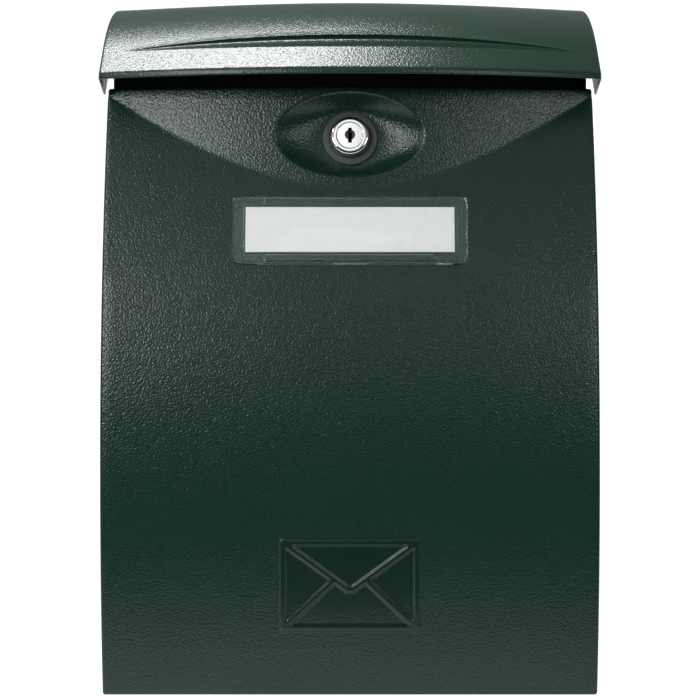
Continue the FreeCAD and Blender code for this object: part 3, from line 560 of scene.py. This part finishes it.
def add_lower_face(skin, columns, rows, upper_columns):
    """Wide cells below the split, with finer ones over the envelope.

    The neighbours of finer cells take the extra points into their edges.
    """
    low_row = int(np.searchsorted(rows, BADGE_MIDDLE - BADGE_CLEAR) - 1)
    high_row = int(np.searchsorted(rows, BADGE_MIDDLE + BADGE_CLEAR))
    low_column, high_column = BADGE_COLUMNS
    for i in range(len(rows) - 1):
        for j in range(COARSE):
            beside_rows = low_row <= i < high_row
            beside_columns = low_column <= j < high_column
            if beside_rows and beside_columns:
                continue
            x0, x1, z0, z1 = columns[j], columns[j + 1], rows[i], rows[i + 1]
            ring = [(x0, z0)]
            if i == high_row and beside_columns:
                ring += [(x, z0) for x in between(x0, x1, FINE_ACROSS)]
            ring.append((x1, z0))
            if j == low_column - 1 and beside_rows:
                ring += [(x1, z) for z in between(z0, z1, FINE_UP)]
            ring.append((x1, z1))
            if i == low_row - 1 and beside_columns:
                ring += [(x, z1) for x in reversed(between(x0, x1, FINE_ACROSS))]
            if i == len(rows) - 2:
                inner = (upper_columns < x1 - 1e-6) & (upper_columns > x0 + 1e-6)
                ring += [(x, z1) for x in upper_columns[inner][::-1]]
            ring.append((x0, z1))
            if j == high_column and beside_rows:
                ring += [(x0, z) for z in reversed(between(z0, z1, FINE_UP))]
            first = skin.add(front_points([p[0] for p in ring], [p[1] for p in ring]))
            skin.face(range(first, first + len(ring)))
    fine_x = np.linspace(columns[low_column], columns[high_column],
                         (high_column - low_column) * FINE_ACROSS + 1)
    fine_z = np.linspace(rows[low_row], rows[high_row], (high_row - low_row) * FINE_UP + 1)
    grid_x, grid_z = np.meshgrid(fine_x, fine_z)
    inside = (np.abs(grid_x) < BADGE_HALF_X) & (np.abs(grid_z - BADGE_MIDDLE) < BADGE_HALF_Z)
    skin.grid(front_points(grid_x, grid_z),
              kinds=lambda i, j: int(inside[i, j] and inside[i + 1, j + 1]))


def upper_heights(upper_columns):
    """Rows of the upper face: they follow the crease and close up round it."""
    crease = np.minimum(crease_height(upper_columns), FACE_HIGH - 0.9)
    squeeze = np.minimum(1, (FACE_HIGH - crease) / 9)
    below, above = crease - CREASE_BAND * squeeze, crease + CREASE_BAND * squeeze
    heights = [SPLIT_HEIGHT + (below - SPLIT_HEIGHT) * share
               for share in np.linspace(0, 1, ROWS_BELOW)]
    heights += [crease + offset * squeeze for offset in CREASE_ROWS]
    heights += [above + (FACE_HIGH - above) * share for share in np.linspace(0, 1, 34)]
    return np.array(heights)


def add_upper_face(skin, upper_columns, heights):
    """The upper face, with a window that the dish fills."""
    first_row = ROWS_BELOW + len(CREASE_ROWS)
    left, right = COARSE * 3 // 2 - 26, COARSE * 3 // 2 + 26
    last_row = len(heights) - 1
    points = front_points(np.broadcast_to(upper_columns, heights.shape), heights)
    skin.grid(points, keep=lambda i, j: not (i >= first_row and left <= j < right))
    border = np.concatenate([
        points[first_row, left:right], points[first_row:last_row, right],
        points[last_row, right:left:-1], points[last_row:first_row:-1, left],
    ])
    make_dish(skin, border)


def face_edge(columns, rows, upper_columns, heights):
    """The face's outline as (x, z, direction of the fold in degrees), fanned at the corners."""
    edge = [(x, FACE_LOW, -90.0) for x in columns]
    edge += [(FACE_HALF, z, 0.0) for z in rows[1:]]
    edge += [(FACE_HALF, z, 0.0) for z in heights[1:, -1]]
    edge += [(x, FACE_HIGH, 90.0) for x in upper_columns[::-1]]
    edge += [(-FACE_HALF, z, 180.0) for z in heights[:-1, 0][::-1]]
    edge += [(-FACE_HALF, z, 180.0) for z in rows[:-1][::-1]]
    full = []
    for number, (x, z, turn) in enumerate(edge):
        after = edge[(number + 1) % len(edge)]
        full.append((x, z, turn))
        gap = (after[2] - turn) % 360
        if 0 < gap <= 90:
            corner = after if (after[0], after[1]) == (x, z) else (x, z, turn)
            full += [(corner[0], corner[1], turn + gap * k / 6) for k in range(1, 7)]
    return full


def return_length(x, z, upright, end_y):
    """How far the folded edge runs back, by the side of the door it is on."""
    if z > 0:
        return (DOOR_RETURN - DOOR_BEND) * (1 - upright) + (TOP_RETURN_Y - end_y) * upright
    low_reach = 2.0 if abs(x) < 125 else 0.05
    return (DOOR_RETURN - DOOR_BEND) * (1 - upright) ** 0.5 + low_reach * upright


def add_folded_edges(skin, outline):
    rings = [[] for _ in range(10)]
    for x, z, turn in outline:
        normal, across_way, up_way = front_frame(x, z)
        a = math.radians(turn)
        way = across_way * math.cos(a) + up_way * math.sin(a)
        way -= normal * (way @ normal)
        way /= np.linalg.norm(way)
        upright = abs(math.sin(a))
        back = -normal * (1 - upright) + np.array([0, 1, 0]) * upright
        back /= np.linalg.norm(back)
        base = np.array([x, float(door_y(x, z)), z])
        centre = base - normal * DOOR_BEND
        bend = math.acos(np.clip(way @ back, -1, 1))
        for k in range(6):
            angle = bend * k / 5
            out = normal * math.cos(angle) + way * math.sin(angle)
            rings[k].append(centre + DOOR_BEND * out)
        end = rings[5][-1]
        reach = return_length(x, z, upright, end[1])
        for k in range(1, 5):
            rings[5 + k].append(end + back * reach * k / 4)
    skin.grid(np.array(rings)[::-1], closed=True)


def make_door():
    skin = Skin()
    columns = np.linspace(-FACE_HALF, FACE_HALF, COARSE + 1)
    upper_columns = np.linspace(-FACE_HALF, FACE_HALF, COARSE * 3 + 1)
    rows = np.linspace(FACE_LOW, SPLIT_HEIGHT, 88)
    heights = upper_heights(upper_columns)
    add_lower_face(skin, columns, rows, upper_columns)
    add_upper_face(skin, upper_columns, heights)
    add_folded_edges(skin, face_edge(columns, rows, upper_columns, heights))

    # the strip that rolls round the hinge rod
    strip = [(-93.0, -178.0), (-92.3, -177.85), (-91.9, -177.6)]
    strip += circle_path(*DOOR_PIN, CURL_RADIUS, -90, 200, 22)
    strip_x = np.linspace(-CURL_HALF, CURL_HALF, 3)
    skin.grid(np.array([[(x, y, z) for x in strip_x] for y, z in strip])[::-1])
    return skin.build("door_skin")


door = piece(make_door(), "door", [PAINT, PAINT_SMOOTH], ["front_door"])
solidify(door)


# ---- lid ----

lid_low, lid_high = (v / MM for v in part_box("lid"))
LID_HALF = lid_high.x
LIP_BOW = -lid_low.y - LIP_END


def lid_profile(x):
    """Outer surface in side view at one place across.

    Gives its (y, z) points, and the numbers of those where the notch and the hem begin.
    """
    lip = -(LIP_END + LIP_BOW * (1 - (x / LID_HALF) ** 2))
    crease = np.array([lip, LIP_LOW + LIP_RISE])
    start = crease + (BAND_RUN, BAND_RISE)
    along = np.array([BAND_RUN, BAND_RISE]) / math.hypot(BAND_RUN, BAND_RISE)
    path = [(lip, LIP_LOW), (lip, LIP_LOW + 0.7)]
    bent_end = crease + along * LIP_ROUND
    path += bent(crease - (0, LIP_ROUND), crease, bent_end, 7)
    path += [bent_end + (start - bent_end) * t for t in np.linspace(0, 0.98, 9)[1:]]

    end = np.array(DOME_END)
    chord = end - start
    reach = math.sqrt(DOME_RADIUS ** 2 - chord @ chord / 4)
    square = np.array([chord[1], -chord[0]]) / np.linalg.norm(chord)
    centre = (start + end) / 2 + square * reach
    first = math.atan2(start[1] - centre[1], start[0] - centre[0])
    last = math.atan2(end[1] - centre[1], end[0] - centre[0])
    notch = math.acos((NOTCH_Y - centre[0]) / DOME_RADIUS)
    size = max(0.0, 1 - (x / CRESCENT_HALF) ** 2) ** 0.9
    crescent = smooth_through(CRESCENT_FORM, 3) + CRESCENT_STEP
    form = [(s * max(size, 0.02), d * size) for s, d in crescent]
    notch_reach, dome_reach = (first - notch) * DOME_RADIUS, (first - last) * DOME_RADIUS
    form += [(s, 0) for s in np.linspace(form[-1][0], notch_reach, 25)[1:]]
    notch_at = len(path) + len(form) - 1
    form += [(s, 0) for s in np.linspace(notch_reach, dome_reach, 5)[1:-1]]
    for s, lift in form:
        angle = first - s / DOME_RADIUS
        path.append(centre + (DOME_RADIUS + lift) * np.array([math.cos(angle), math.sin(angle)]))
    bend_y, bend_z = HEM_Y - HEM_BEND, DOME_END[1] - HEM_BEND
    path += circle_path(bend_y, bend_z, HEM_BEND, 90, 0, 6)
    hem_at = len(path) - 1
    path += [(HEM_Y, HEM_LOW + 3)]
    path += circle_path(HEM_Y - 1.2, HEM_LOW + 1.2, 1.2, 0, -90, 4)
    path += [(-5.0, HEM_LOW), (-7.0, HEM_LOW)]
    path += circle_path(*LID_PIN, CURL_RADIUS, -90, -380, 24)
    return np.array([tuple(p) for p in path]), notch_at, hem_at


def inward(path):
    """Unit normals of a path, to its right."""
    run = np.gradient(path, axis=0)
    run /= np.linalg.norm(run, axis=1)[:, None]
    return np.stack([run[:, 1], -run[:, 0]], -1)


def make_lid():
    skin = Skin()
    turns = np.linspace(90, 0, 6)
    side = [(-(LID_HALF - SIDE_BEND) - SIDE_BEND * math.sin(math.radians(a)),
             SIDE_BEND * (1 - math.cos(math.radians(a)))) for a in turns]
    inner = LID_HALF - SIDE_BEND
    columns = side + [(x, 0.0) for x in (-inner + 1.1, -inner + 2.2)]
    columns += [(x, 0.0) for x in np.linspace(-CURL_HALF, 0, 64)]
    columns += [(-x, inset) for x, inset in columns[-2::-1]]
    rows = []
    for x, inset in columns:
        path, notch_at, hem_at = lid_profile(x)
        shifted = path + inward(path) * inset
        rows.append(np.column_stack([np.full(len(path), x), shifted]))
    points = np.stack(rows, 1)
    middle_x = np.array([(a[0] + b[0]) / 2 for a, b in zip(columns, columns[1:])])
    skin.grid(points, keep=lambda i, j: i < notch_at or abs(middle_x[j]) < CURL_HALF)

    # flat end flanges: the tab at the front, then a scalloped lower edge
    rear = np.array([HEM_Y - SIDE_BEND, FLANGE_LOW])
    for number, turn in ((0, 1), (-1, -1)):
        x = points[0, number, 0]
        lip = points[0, number, 1]
        tab = np.array([-LIP_END + TAB_RUN, LIP_LOW - TAB_DROP])
        chord = tab - rear
        reach = math.sqrt(FLANGE_RADIUS ** 2 - chord @ chord / 4)
        square = np.array([-chord[1], chord[0]]) / np.linalg.norm(chord)
        centre = (rear + tab) / 2 + square * reach
        first = math.degrees(math.atan2(rear[1] - centre[1], rear[0] - centre[0]))
        last = math.degrees(math.atan2(tab[1] - centre[1], tab[0] - centre[0]))
        ring = [tuple(p) for p in points[:hem_at + 1, number]]
        ring += [(x, *p) for p in circle_path(*centre, FLANGE_RADIUS, first, last, 16)]
        ring += [(x, lip + 3.0, LIP_LOW - 0.55)]
        start = skin.add(ring)
        order = range(start, start + len(ring))
        skin.face(order if turn > 0 else list(order)[::-1])
    return skin.build("lid_skin")


lid = piece(make_lid(), "lid", [PAINT], ["lid"])
solidify(lid)


# ---- lock ----

# Bore and outside of the ring round the lock.
RING_BORE, RING_OPENING, RING_OUTSIDE, RING_LIP, RING_HIGH = 9.5, 10.9, 14.3, 0.8, 1.8
# The barrel: thread, flats, head and the bore that the plug turns in.
BARREL_RADIUS, BARREL_REAR, BARREL_FLAT = 9.4, -19.0, 8.0
THREAD_PITCH, THREAD_DEPTH = 1.0, 0.5
HEAD_RADIUS, HEAD_FRONT, PLUG_BORE, PLUG_FACE_BORE = 10.25, 7.8, 6.05, 6.75
TURNED_SEGMENTS = 144


def placed(base, across, up, out, upward, forward):
    """Points from their places across, up and out from a base."""
    across, up, out = np.broadcast_arrays(*(np.asarray(v, float) for v in (across, up, out)))
    rightward = np.array([1.0, 0, 0])
    return (base + across[..., None] * rightward + up[..., None] * upward
            + out[..., None] * forward)


def lock_points(across, up, out):
    """Places in the lock's frame, as points of the object."""
    forward = np.array(LOCK_AXIS)
    upward = np.array([0, forward[2], -forward[1]])
    return placed(np.array(LOCK_AT) / MM, across, up, out, upward, forward)


def turned(name, profile):
    """A turned part: profile of (radius, out) points; radius may be a function of the angle."""
    skin = Skin()
    angles = np.linspace(0, 2 * math.pi, TURNED_SEGMENTS, endpoint=False)
    rings = []
    for radius, out in profile + profile[:1]:
        size = radius(angles) if callable(radius) else np.full(TURNED_SEGMENTS, float(radius))
        rings.append(lock_points(size * np.cos(angles), size * np.sin(angles), out))
    skin.grid(np.array(rings), closed=True)
    return skin.build(name)


def corner_of(first, corner, last, parts):
    """A rounded corner of a turned part's profile."""
    return [tuple(p) for p in bent(first, corner, last, parts)]


def make_bezel():
    profile = [(RING_BORE, 0.0), (RING_OUTSIDE, 0.0), (RING_OUTSIDE, 1.0)]
    profile += corner_of((RING_OUTSIDE, 1.2), (14.25, RING_HIGH), (13.5, RING_HIGH), 6)
    profile += corner_of((11.5, RING_HIGH), (RING_OPENING, RING_HIGH), (RING_OPENING, 1.2), 6)
    profile += [(RING_OPENING, RING_LIP), (RING_BORE, RING_LIP)]
    return turned("lock_ring", profile)


def thread_radius(out, fade=1.0):
    """The barrel's radius at one place along it, by angle: a helical tooth cut off by two flats."""
    def radius(angle):
        place = (out / THREAD_PITCH - angle / (2 * math.pi)) % 1
        tooth = BARREL_RADIUS - THREAD_DEPTH * fade * np.abs(2 * place - 1)
        return np.minimum(tooth, BARREL_FLAT / np.maximum(np.abs(np.cos(angle)), 0.01))
    return radius


def make_barrel():
    chamfer = 8.7
    rear = thread_radius(BARREL_REAR)
    profile = [(PLUG_BORE, BARREL_REAR),
               (lambda angle: np.minimum(rear(angle), chamfer), BARREL_REAR)]
    for out in np.arange(BARREL_REAR + 0.25, 0.1, THREAD_PITCH / 6):
        profile.append((thread_radius(out, min(1.0, -out / 2 + 0.1)), out))
    profile += [(BARREL_RADIUS, 0.25), (BARREL_RADIUS, 0.85), (10.1, 0.85),
                (HEAD_RADIUS, 1.0), (HEAD_RADIUS, 5.0)]
    profile += corner_of((HEAD_RADIUS, 5.4), (10.2, 7.55), (9.0, 7.72), 9)
    profile += corner_of((8.6, HEAD_FRONT), (8.2, HEAD_FRONT), (7.6, HEAD_FRONT), 2)
    profile += corner_of((6.95, HEAD_FRONT), (PLUG_FACE_BORE, HEAD_FRONT), (PLUG_FACE_BORE, 7.6), 4)
    profile += [(PLUG_FACE_BORE, 5.8), (PLUG_BORE, 5.8)]
    return turned("lock_head_and_barrel", profile)


piece(make_bezel(), "door", [RING], ["lock_bezel"])
piece(make_barrel(), "door", [CHROME], ["lock_barrel"], sharp=35.0)


# ---- name plate cover ----

# Where the moulded grooves end, measured from the plate's middle.
GROOVE_ENDS_X = (7.6, 8.0, 8.6, 43.4, 44.0, 44.4, 45.0)
GROOVE_ENDS_Z = (10.8, 11.3, 11.7, 12.2)
# The plate's section: (inset from its edge, height above the door).
PLATE_FLAT = 2.75
PLATE_EDGE = [(0, 0.05), (0, 1.3), (0.06, 1.75), (0.22, 2.15), (0.5, 2.52), (0.9, 2.8),
              (1.3, 2.95), (1.6, 3.0), (1.78, 2.97), (1.88, 2.86), (1.96, 2.77)]
PLATE_FLAT_STOPS = (2.2, 2.6, 2.72, 2.85, 3.1, 3.2, 3.32, 3.45, 3.7, 3.95, 4.08, 4.2, 4.45, 4.58,
                    4.7, 4.85, 5.0, 5.4)
PLATE_WINDOW = [(5.62, 2.7), (5.74, 2.6), (5.84, 2.3), (5.94, 2.14), (6.2, 2.1)]
PLATE_BACK, POCKET_TOP = 0.05, 0.75
CLIP_HALF, CLIP_NEAR, CLIP_FAR = 6.0, 3.8, 2.4
CLIP_SECTION = [(-3.2, 0.35), (-2.6, 0.0), (0.0, 0.0)]


def plate_points(across, up, out):
    """Places in the name plate's frame, as points of the object."""
    tilt = math.asin((PLATE_UP - BELLY_HEIGHT) / FRONT_RADIUS)
    forward = np.array([0, -math.cos(tilt), math.sin(tilt)])
    upward = np.array([0, math.sin(tilt), math.cos(tilt)])
    base = np.array([0, float(arc_y(PLATE_UP)), PLATE_UP])
    return placed(base, across, up, out, upward, forward)


def stops(groove_ends, reach, parts, limit):
    """Places along one side: evenly spaced, and close together where grooves end."""
    ends = np.array([sign * end for sign in (-1, 1) for end in groove_ends])
    even = np.linspace(-reach, reach, parts)
    return np.clip(np.sort(np.concatenate([even, ends])), -limit, limit)


def plate_loop(inset):
    """A rounded rectangle, drawn in evenly; every loop has the same number of points."""
    half_x, half_z = PLATE_HALF_X - inset, PLATE_HALF_Z - inset
    corner = max(PLATE_CORNER - inset, 0.0)
    flat_x, flat_z = half_x - corner, half_z - corner
    along_x, along_z = stops(GROOVE_ENDS_X, 56, 29, flat_x), stops(GROOVE_ENDS_Z, 14, 9, flat_z)
    turn = np.radians(np.linspace(0, 90, 9))[1:-1]
    sides = [
        ([(x, -half_z) for x in along_x], 1, -1, -90),
        ([(half_x, z) for z in along_z], 1, 1, 0),
        ([(x, half_z) for x in along_x[::-1]], -1, 1, 90),
        ([(-half_x, z) for z in along_z[::-1]], -1, -1, 180),
    ]
    loop = []
    for side, sx, sz, quarter in sides:
        loop += side
        for a in turn + math.radians(quarter):
            loop.append((sx * flat_x + corner * math.cos(a), sz * flat_z + corner * math.sin(a)))
    return np.array(loop)


def trough(value, low, high, wall=0.25):
    return smoothstep(low, low + wall, value) * (1 - smoothstep(high - wall, high, value))


def plate_carving(x, z):
    """Depth of the moulded grooves: long ones above and below the label, short ones beside it."""
    from_edge_z, from_edge_x = PLATE_HALF_Z - np.abs(z), PLATE_HALF_X - np.abs(x)
    long_groove = 0.55 * trough(from_edge_z, 2.6, 4.7) * trough(x, -44.4, 44.4, 0.6)
    notch = 0.5 * trough(from_edge_z, 3.2, 4.2) * trough(x, -8.4, 8.4, 0.5)
    short_groove = 0.8 * trough(from_edge_x, 3.1, 5.0) * trough(z, -11.8, 11.8, 0.5)
    return long_groove + notch + short_groove


def cap(skin, ring):
    """Closes a ring of points with one face."""
    start = skin.add(ring)
    skin.face(range(start, start + len(ring)))


def clip_ring(centre_near, centre_far, out, draw, upright):
    """One section of a clip, drawn in at its tip."""
    a, b = sorted((centre_near, centre_far))
    half = CLIP_HALF - draw
    ring = [(a + draw, -half), (b - draw, -half), (b - draw, half), (a + draw, half)]
    if not upright:
        ring = [(v, u) for u, v in ring][::-1]
    ring = np.array(ring)
    return plate_points(ring[:, 0], ring[:, 1], out)


def make_plate():
    skin = Skin()
    section = PLATE_EDGE + [(inset, PLATE_FLAT) for inset in PLATE_FLAT_STOPS] + PLATE_WINDOW
    rings = []
    for inset, out in section:
        loop = plate_loop(inset)
        carved = out - plate_carving(loop[:, 0], loop[:, 1])
        rings.append(plate_points(loop[:, 0], loop[:, 1], carved))
    skin.grid(np.array(rings), closed=True)
    cap(skin, rings[-1])
    back = []
    for inset, out in ((0, PLATE_BACK), (2.0, PLATE_BACK), (LABEL_PLAY, PLATE_BACK),
                       (LABEL_PLAY, POCKET_TOP)):
        loop = plate_loop(inset)
        back.append(plate_points(loop[:, 0], loop[:, 1], out))
    skin.grid(np.array(back)[::-1], closed=True)
    cap(skin, back[-1][::-1])

    # four clips that go through the door
    for size, upright in ((PLATE_HALF_X, True), (PLATE_HALF_Z, False)):
        for sign in (-1, 1):
            near, far = sign * (size - CLIP_NEAR), sign * (size - CLIP_FAR)
            corners = [clip_ring(near, far, out, draw, upright) for out, draw in CLIP_SECTION]
            skin.grid(np.array(corners), closed=True)
            cap(skin, corners[0][::-1])
            cap(skin, corners[-1])
    return skin.build("name_plate")


cover = piece(make_plate(), "door", [CLEAR], ["name_plate_cover"], sharp=35.0)
# A clear sheet hardly shades the label under it.
cover.visible_shadow = False


# ---- studio: pale floor, soft light, camera ----

# Metres. The floor ends in front of the object, so that the lower door reflects the darker wall.
FLOOR_HALF, FLOOR_FRONT, FLOOR_REAR, FLOOR_Z = 3.0, -0.76, 1.2, -0.42
# Colours of the surroundings: in front from below to above, behind from the horizon upwards.
FRONT_WALL = ((0.01, 0.01, 0.01), (0.46, 0.46, 0.47))
BACK_WALL = ((1.15, 1.15, 1.15), (0.22, 0.22, 0.22))
# Soft boxes: name, place, target, width, height, power and colour.
LIGHTS = [
    ("overhead", (-0.43, 0.13, 1.2), (-0.43, 0.13, 0), 0.9, 0.34, 18),
    ("front_left", (-0.71, -1.50, 0.415), (0, -0.1, 0.11), 0.45, 0.30, 5.8, (0.95, 0.98, 1.0)),
    ("front_right", (0.71, -1.50, 0.415), (0, -0.1, 0.11), 0.45, 0.28, 2.2, (0.95, 0.98, 1.0)),
    ("key", (-0.85, -1.35, 0.95), (0, -0.1, 0.05), 0.16, 0.16, 3.4),
    ("front_high", (-0.06, -1.6, 0.70), (0, -0.1, 0.1), 0.16, 0.16, 0.08),
]


def look_at(obj, target):
    obj.rotation_euler = (Vector(target) - obj.location).to_track_quat("-Z", "Y").to_euler()


def area(name, place, target, width, height, power, colour=(1, 1, 1)):
    data = bpy.data.lights.new(name, "AREA")
    data.shape = "RECTANGLE"
    data.size, data.size_y = width, height
    data.energy = power
    data.color = colour
    light = bpy.data.objects.new(name, data)
    light.location = place
    look_at(light, target)
    bpy.context.scene.collection.objects.link(light)


def make_floor():
    mesh = bpy.data.meshes.new("floor")
    mesh.from_pydata([(-FLOOR_HALF, FLOOR_FRONT, FLOOR_Z), (FLOOR_HALF, FLOOR_FRONT, FLOOR_Z),
                      (FLOOR_HALF, FLOOR_REAR, FLOOR_Z), (-FLOOR_HALF, FLOOR_REAR, FLOOR_Z)],
                     [], [(0, 1, 2, 3)])
    floor = bpy.data.objects.new("floor", mesh)
    bpy.context.scene.collection.objects.link(floor)
    material, nodes, links, shader = new_material("pale_floor")
    cloud = noise(nodes, links, place_of(nodes), 3, 3)
    links.new(two_colours(nodes, links, cloud, (0.86, 0.86, 0.86), (0.9, 0.9, 0.9)),
              shader.inputs["Base Color"])
    shader.inputs["Roughness"].default_value = 0.8
    mesh.materials.append(material)


def make_world():
    """A white wall behind the object, a grey one in front that is darker to the right and below."""
    world = bpy.data.worlds.new("studio")
    bpy.context.scene.world = world
    world.use_nodes = True
    nodes, links = world.node_tree.nodes, world.node_tree.links
    way = nodes.new("ShaderNodeSeparateXYZ")
    links.new(nodes.new("ShaderNodeTexCoord").outputs["Generated"], way.inputs["Vector"])
    above = spread(nodes, links, way.outputs["Z"], 0.0, 1.0, 0.07, 0.26)
    leftward = spread(nodes, links, way.outputs["X"], 1.0, 0.4, -0.3, 0.35)
    level = nodes.new("ShaderNodeMath")
    level.operation = "MULTIPLY"
    links.new(above, level.inputs[0])
    links.new(leftward, level.inputs[1])
    front_wall = two_colours(nodes, links, level.outputs[0], *FRONT_WALL)
    behind = spread(nodes, links, way.outputs["Y"], 0.0, 1.0, -0.05, 0.35)
    colour = nodes.new("ShaderNodeMix")
    colour.data_type = "RGBA"
    links.new(behind, colour.inputs[0])
    links.new(front_wall, colour.inputs[6])
    height = spread(nodes, links, way.outputs["Z"], 0.0, 1.0, 0.19, 0.34)
    links.new(two_colours(nodes, links, height, *BACK_WALL), colour.inputs[7])
    links.new(colour.outputs[2], nodes["Background"].inputs["Color"])


def make_camera():
    data = bpy.data.cameras.new("camera")
    data.sensor_width = 36.0
    data.lens = 100.84
    camera = bpy.data.objects.new("camera", data)
    camera.location = (0, -1.108, 0)
    camera.rotation_euler = (math.radians(90), 0, 0)
    bpy.context.scene.collection.objects.link(camera)
    bpy.context.scene.camera = camera
    bpy.context.scene.view_settings.view_transform = "Standard"


make_floor()
make_world()
for light_settings in LIGHTS:
    area(*light_settings)
make_camera()


# ---- CAD solids shown as they are: material and rounding of the edges ----

CAD_LOOKS = {
    "body_shell": (PAINT, 0.3), "strike_rail": (PAINT, 0.3), "rail_rivets": (ZINC, 0.0),
    "door_hinge_rod": (ZINC, 0.0), "lid_hinge_rod": (ZINC, 0.0), "lid_spacers": (NYLON, 0.1),
    "lock_plug": (PLUG, 0.1), "lock_wafers": (BRASS, 0.0), "lock_nut": (ZINC, 0.2),
    "lock_cam": (ZINC, 0.15), "lock_cam_washer": (ZINC, 0.1), "lock_cam_screw": (ZINC, 0.1),
    "name_label": (PAPER, 0.05),
}
for node, (material, rounding) in CAD_LOOKS.items():
    solid = frame["nodes"][node]
    solid.data.materials.clear()
    solid.data.materials.append(material)
    if rounding:
        round_edges(solid, rounding)
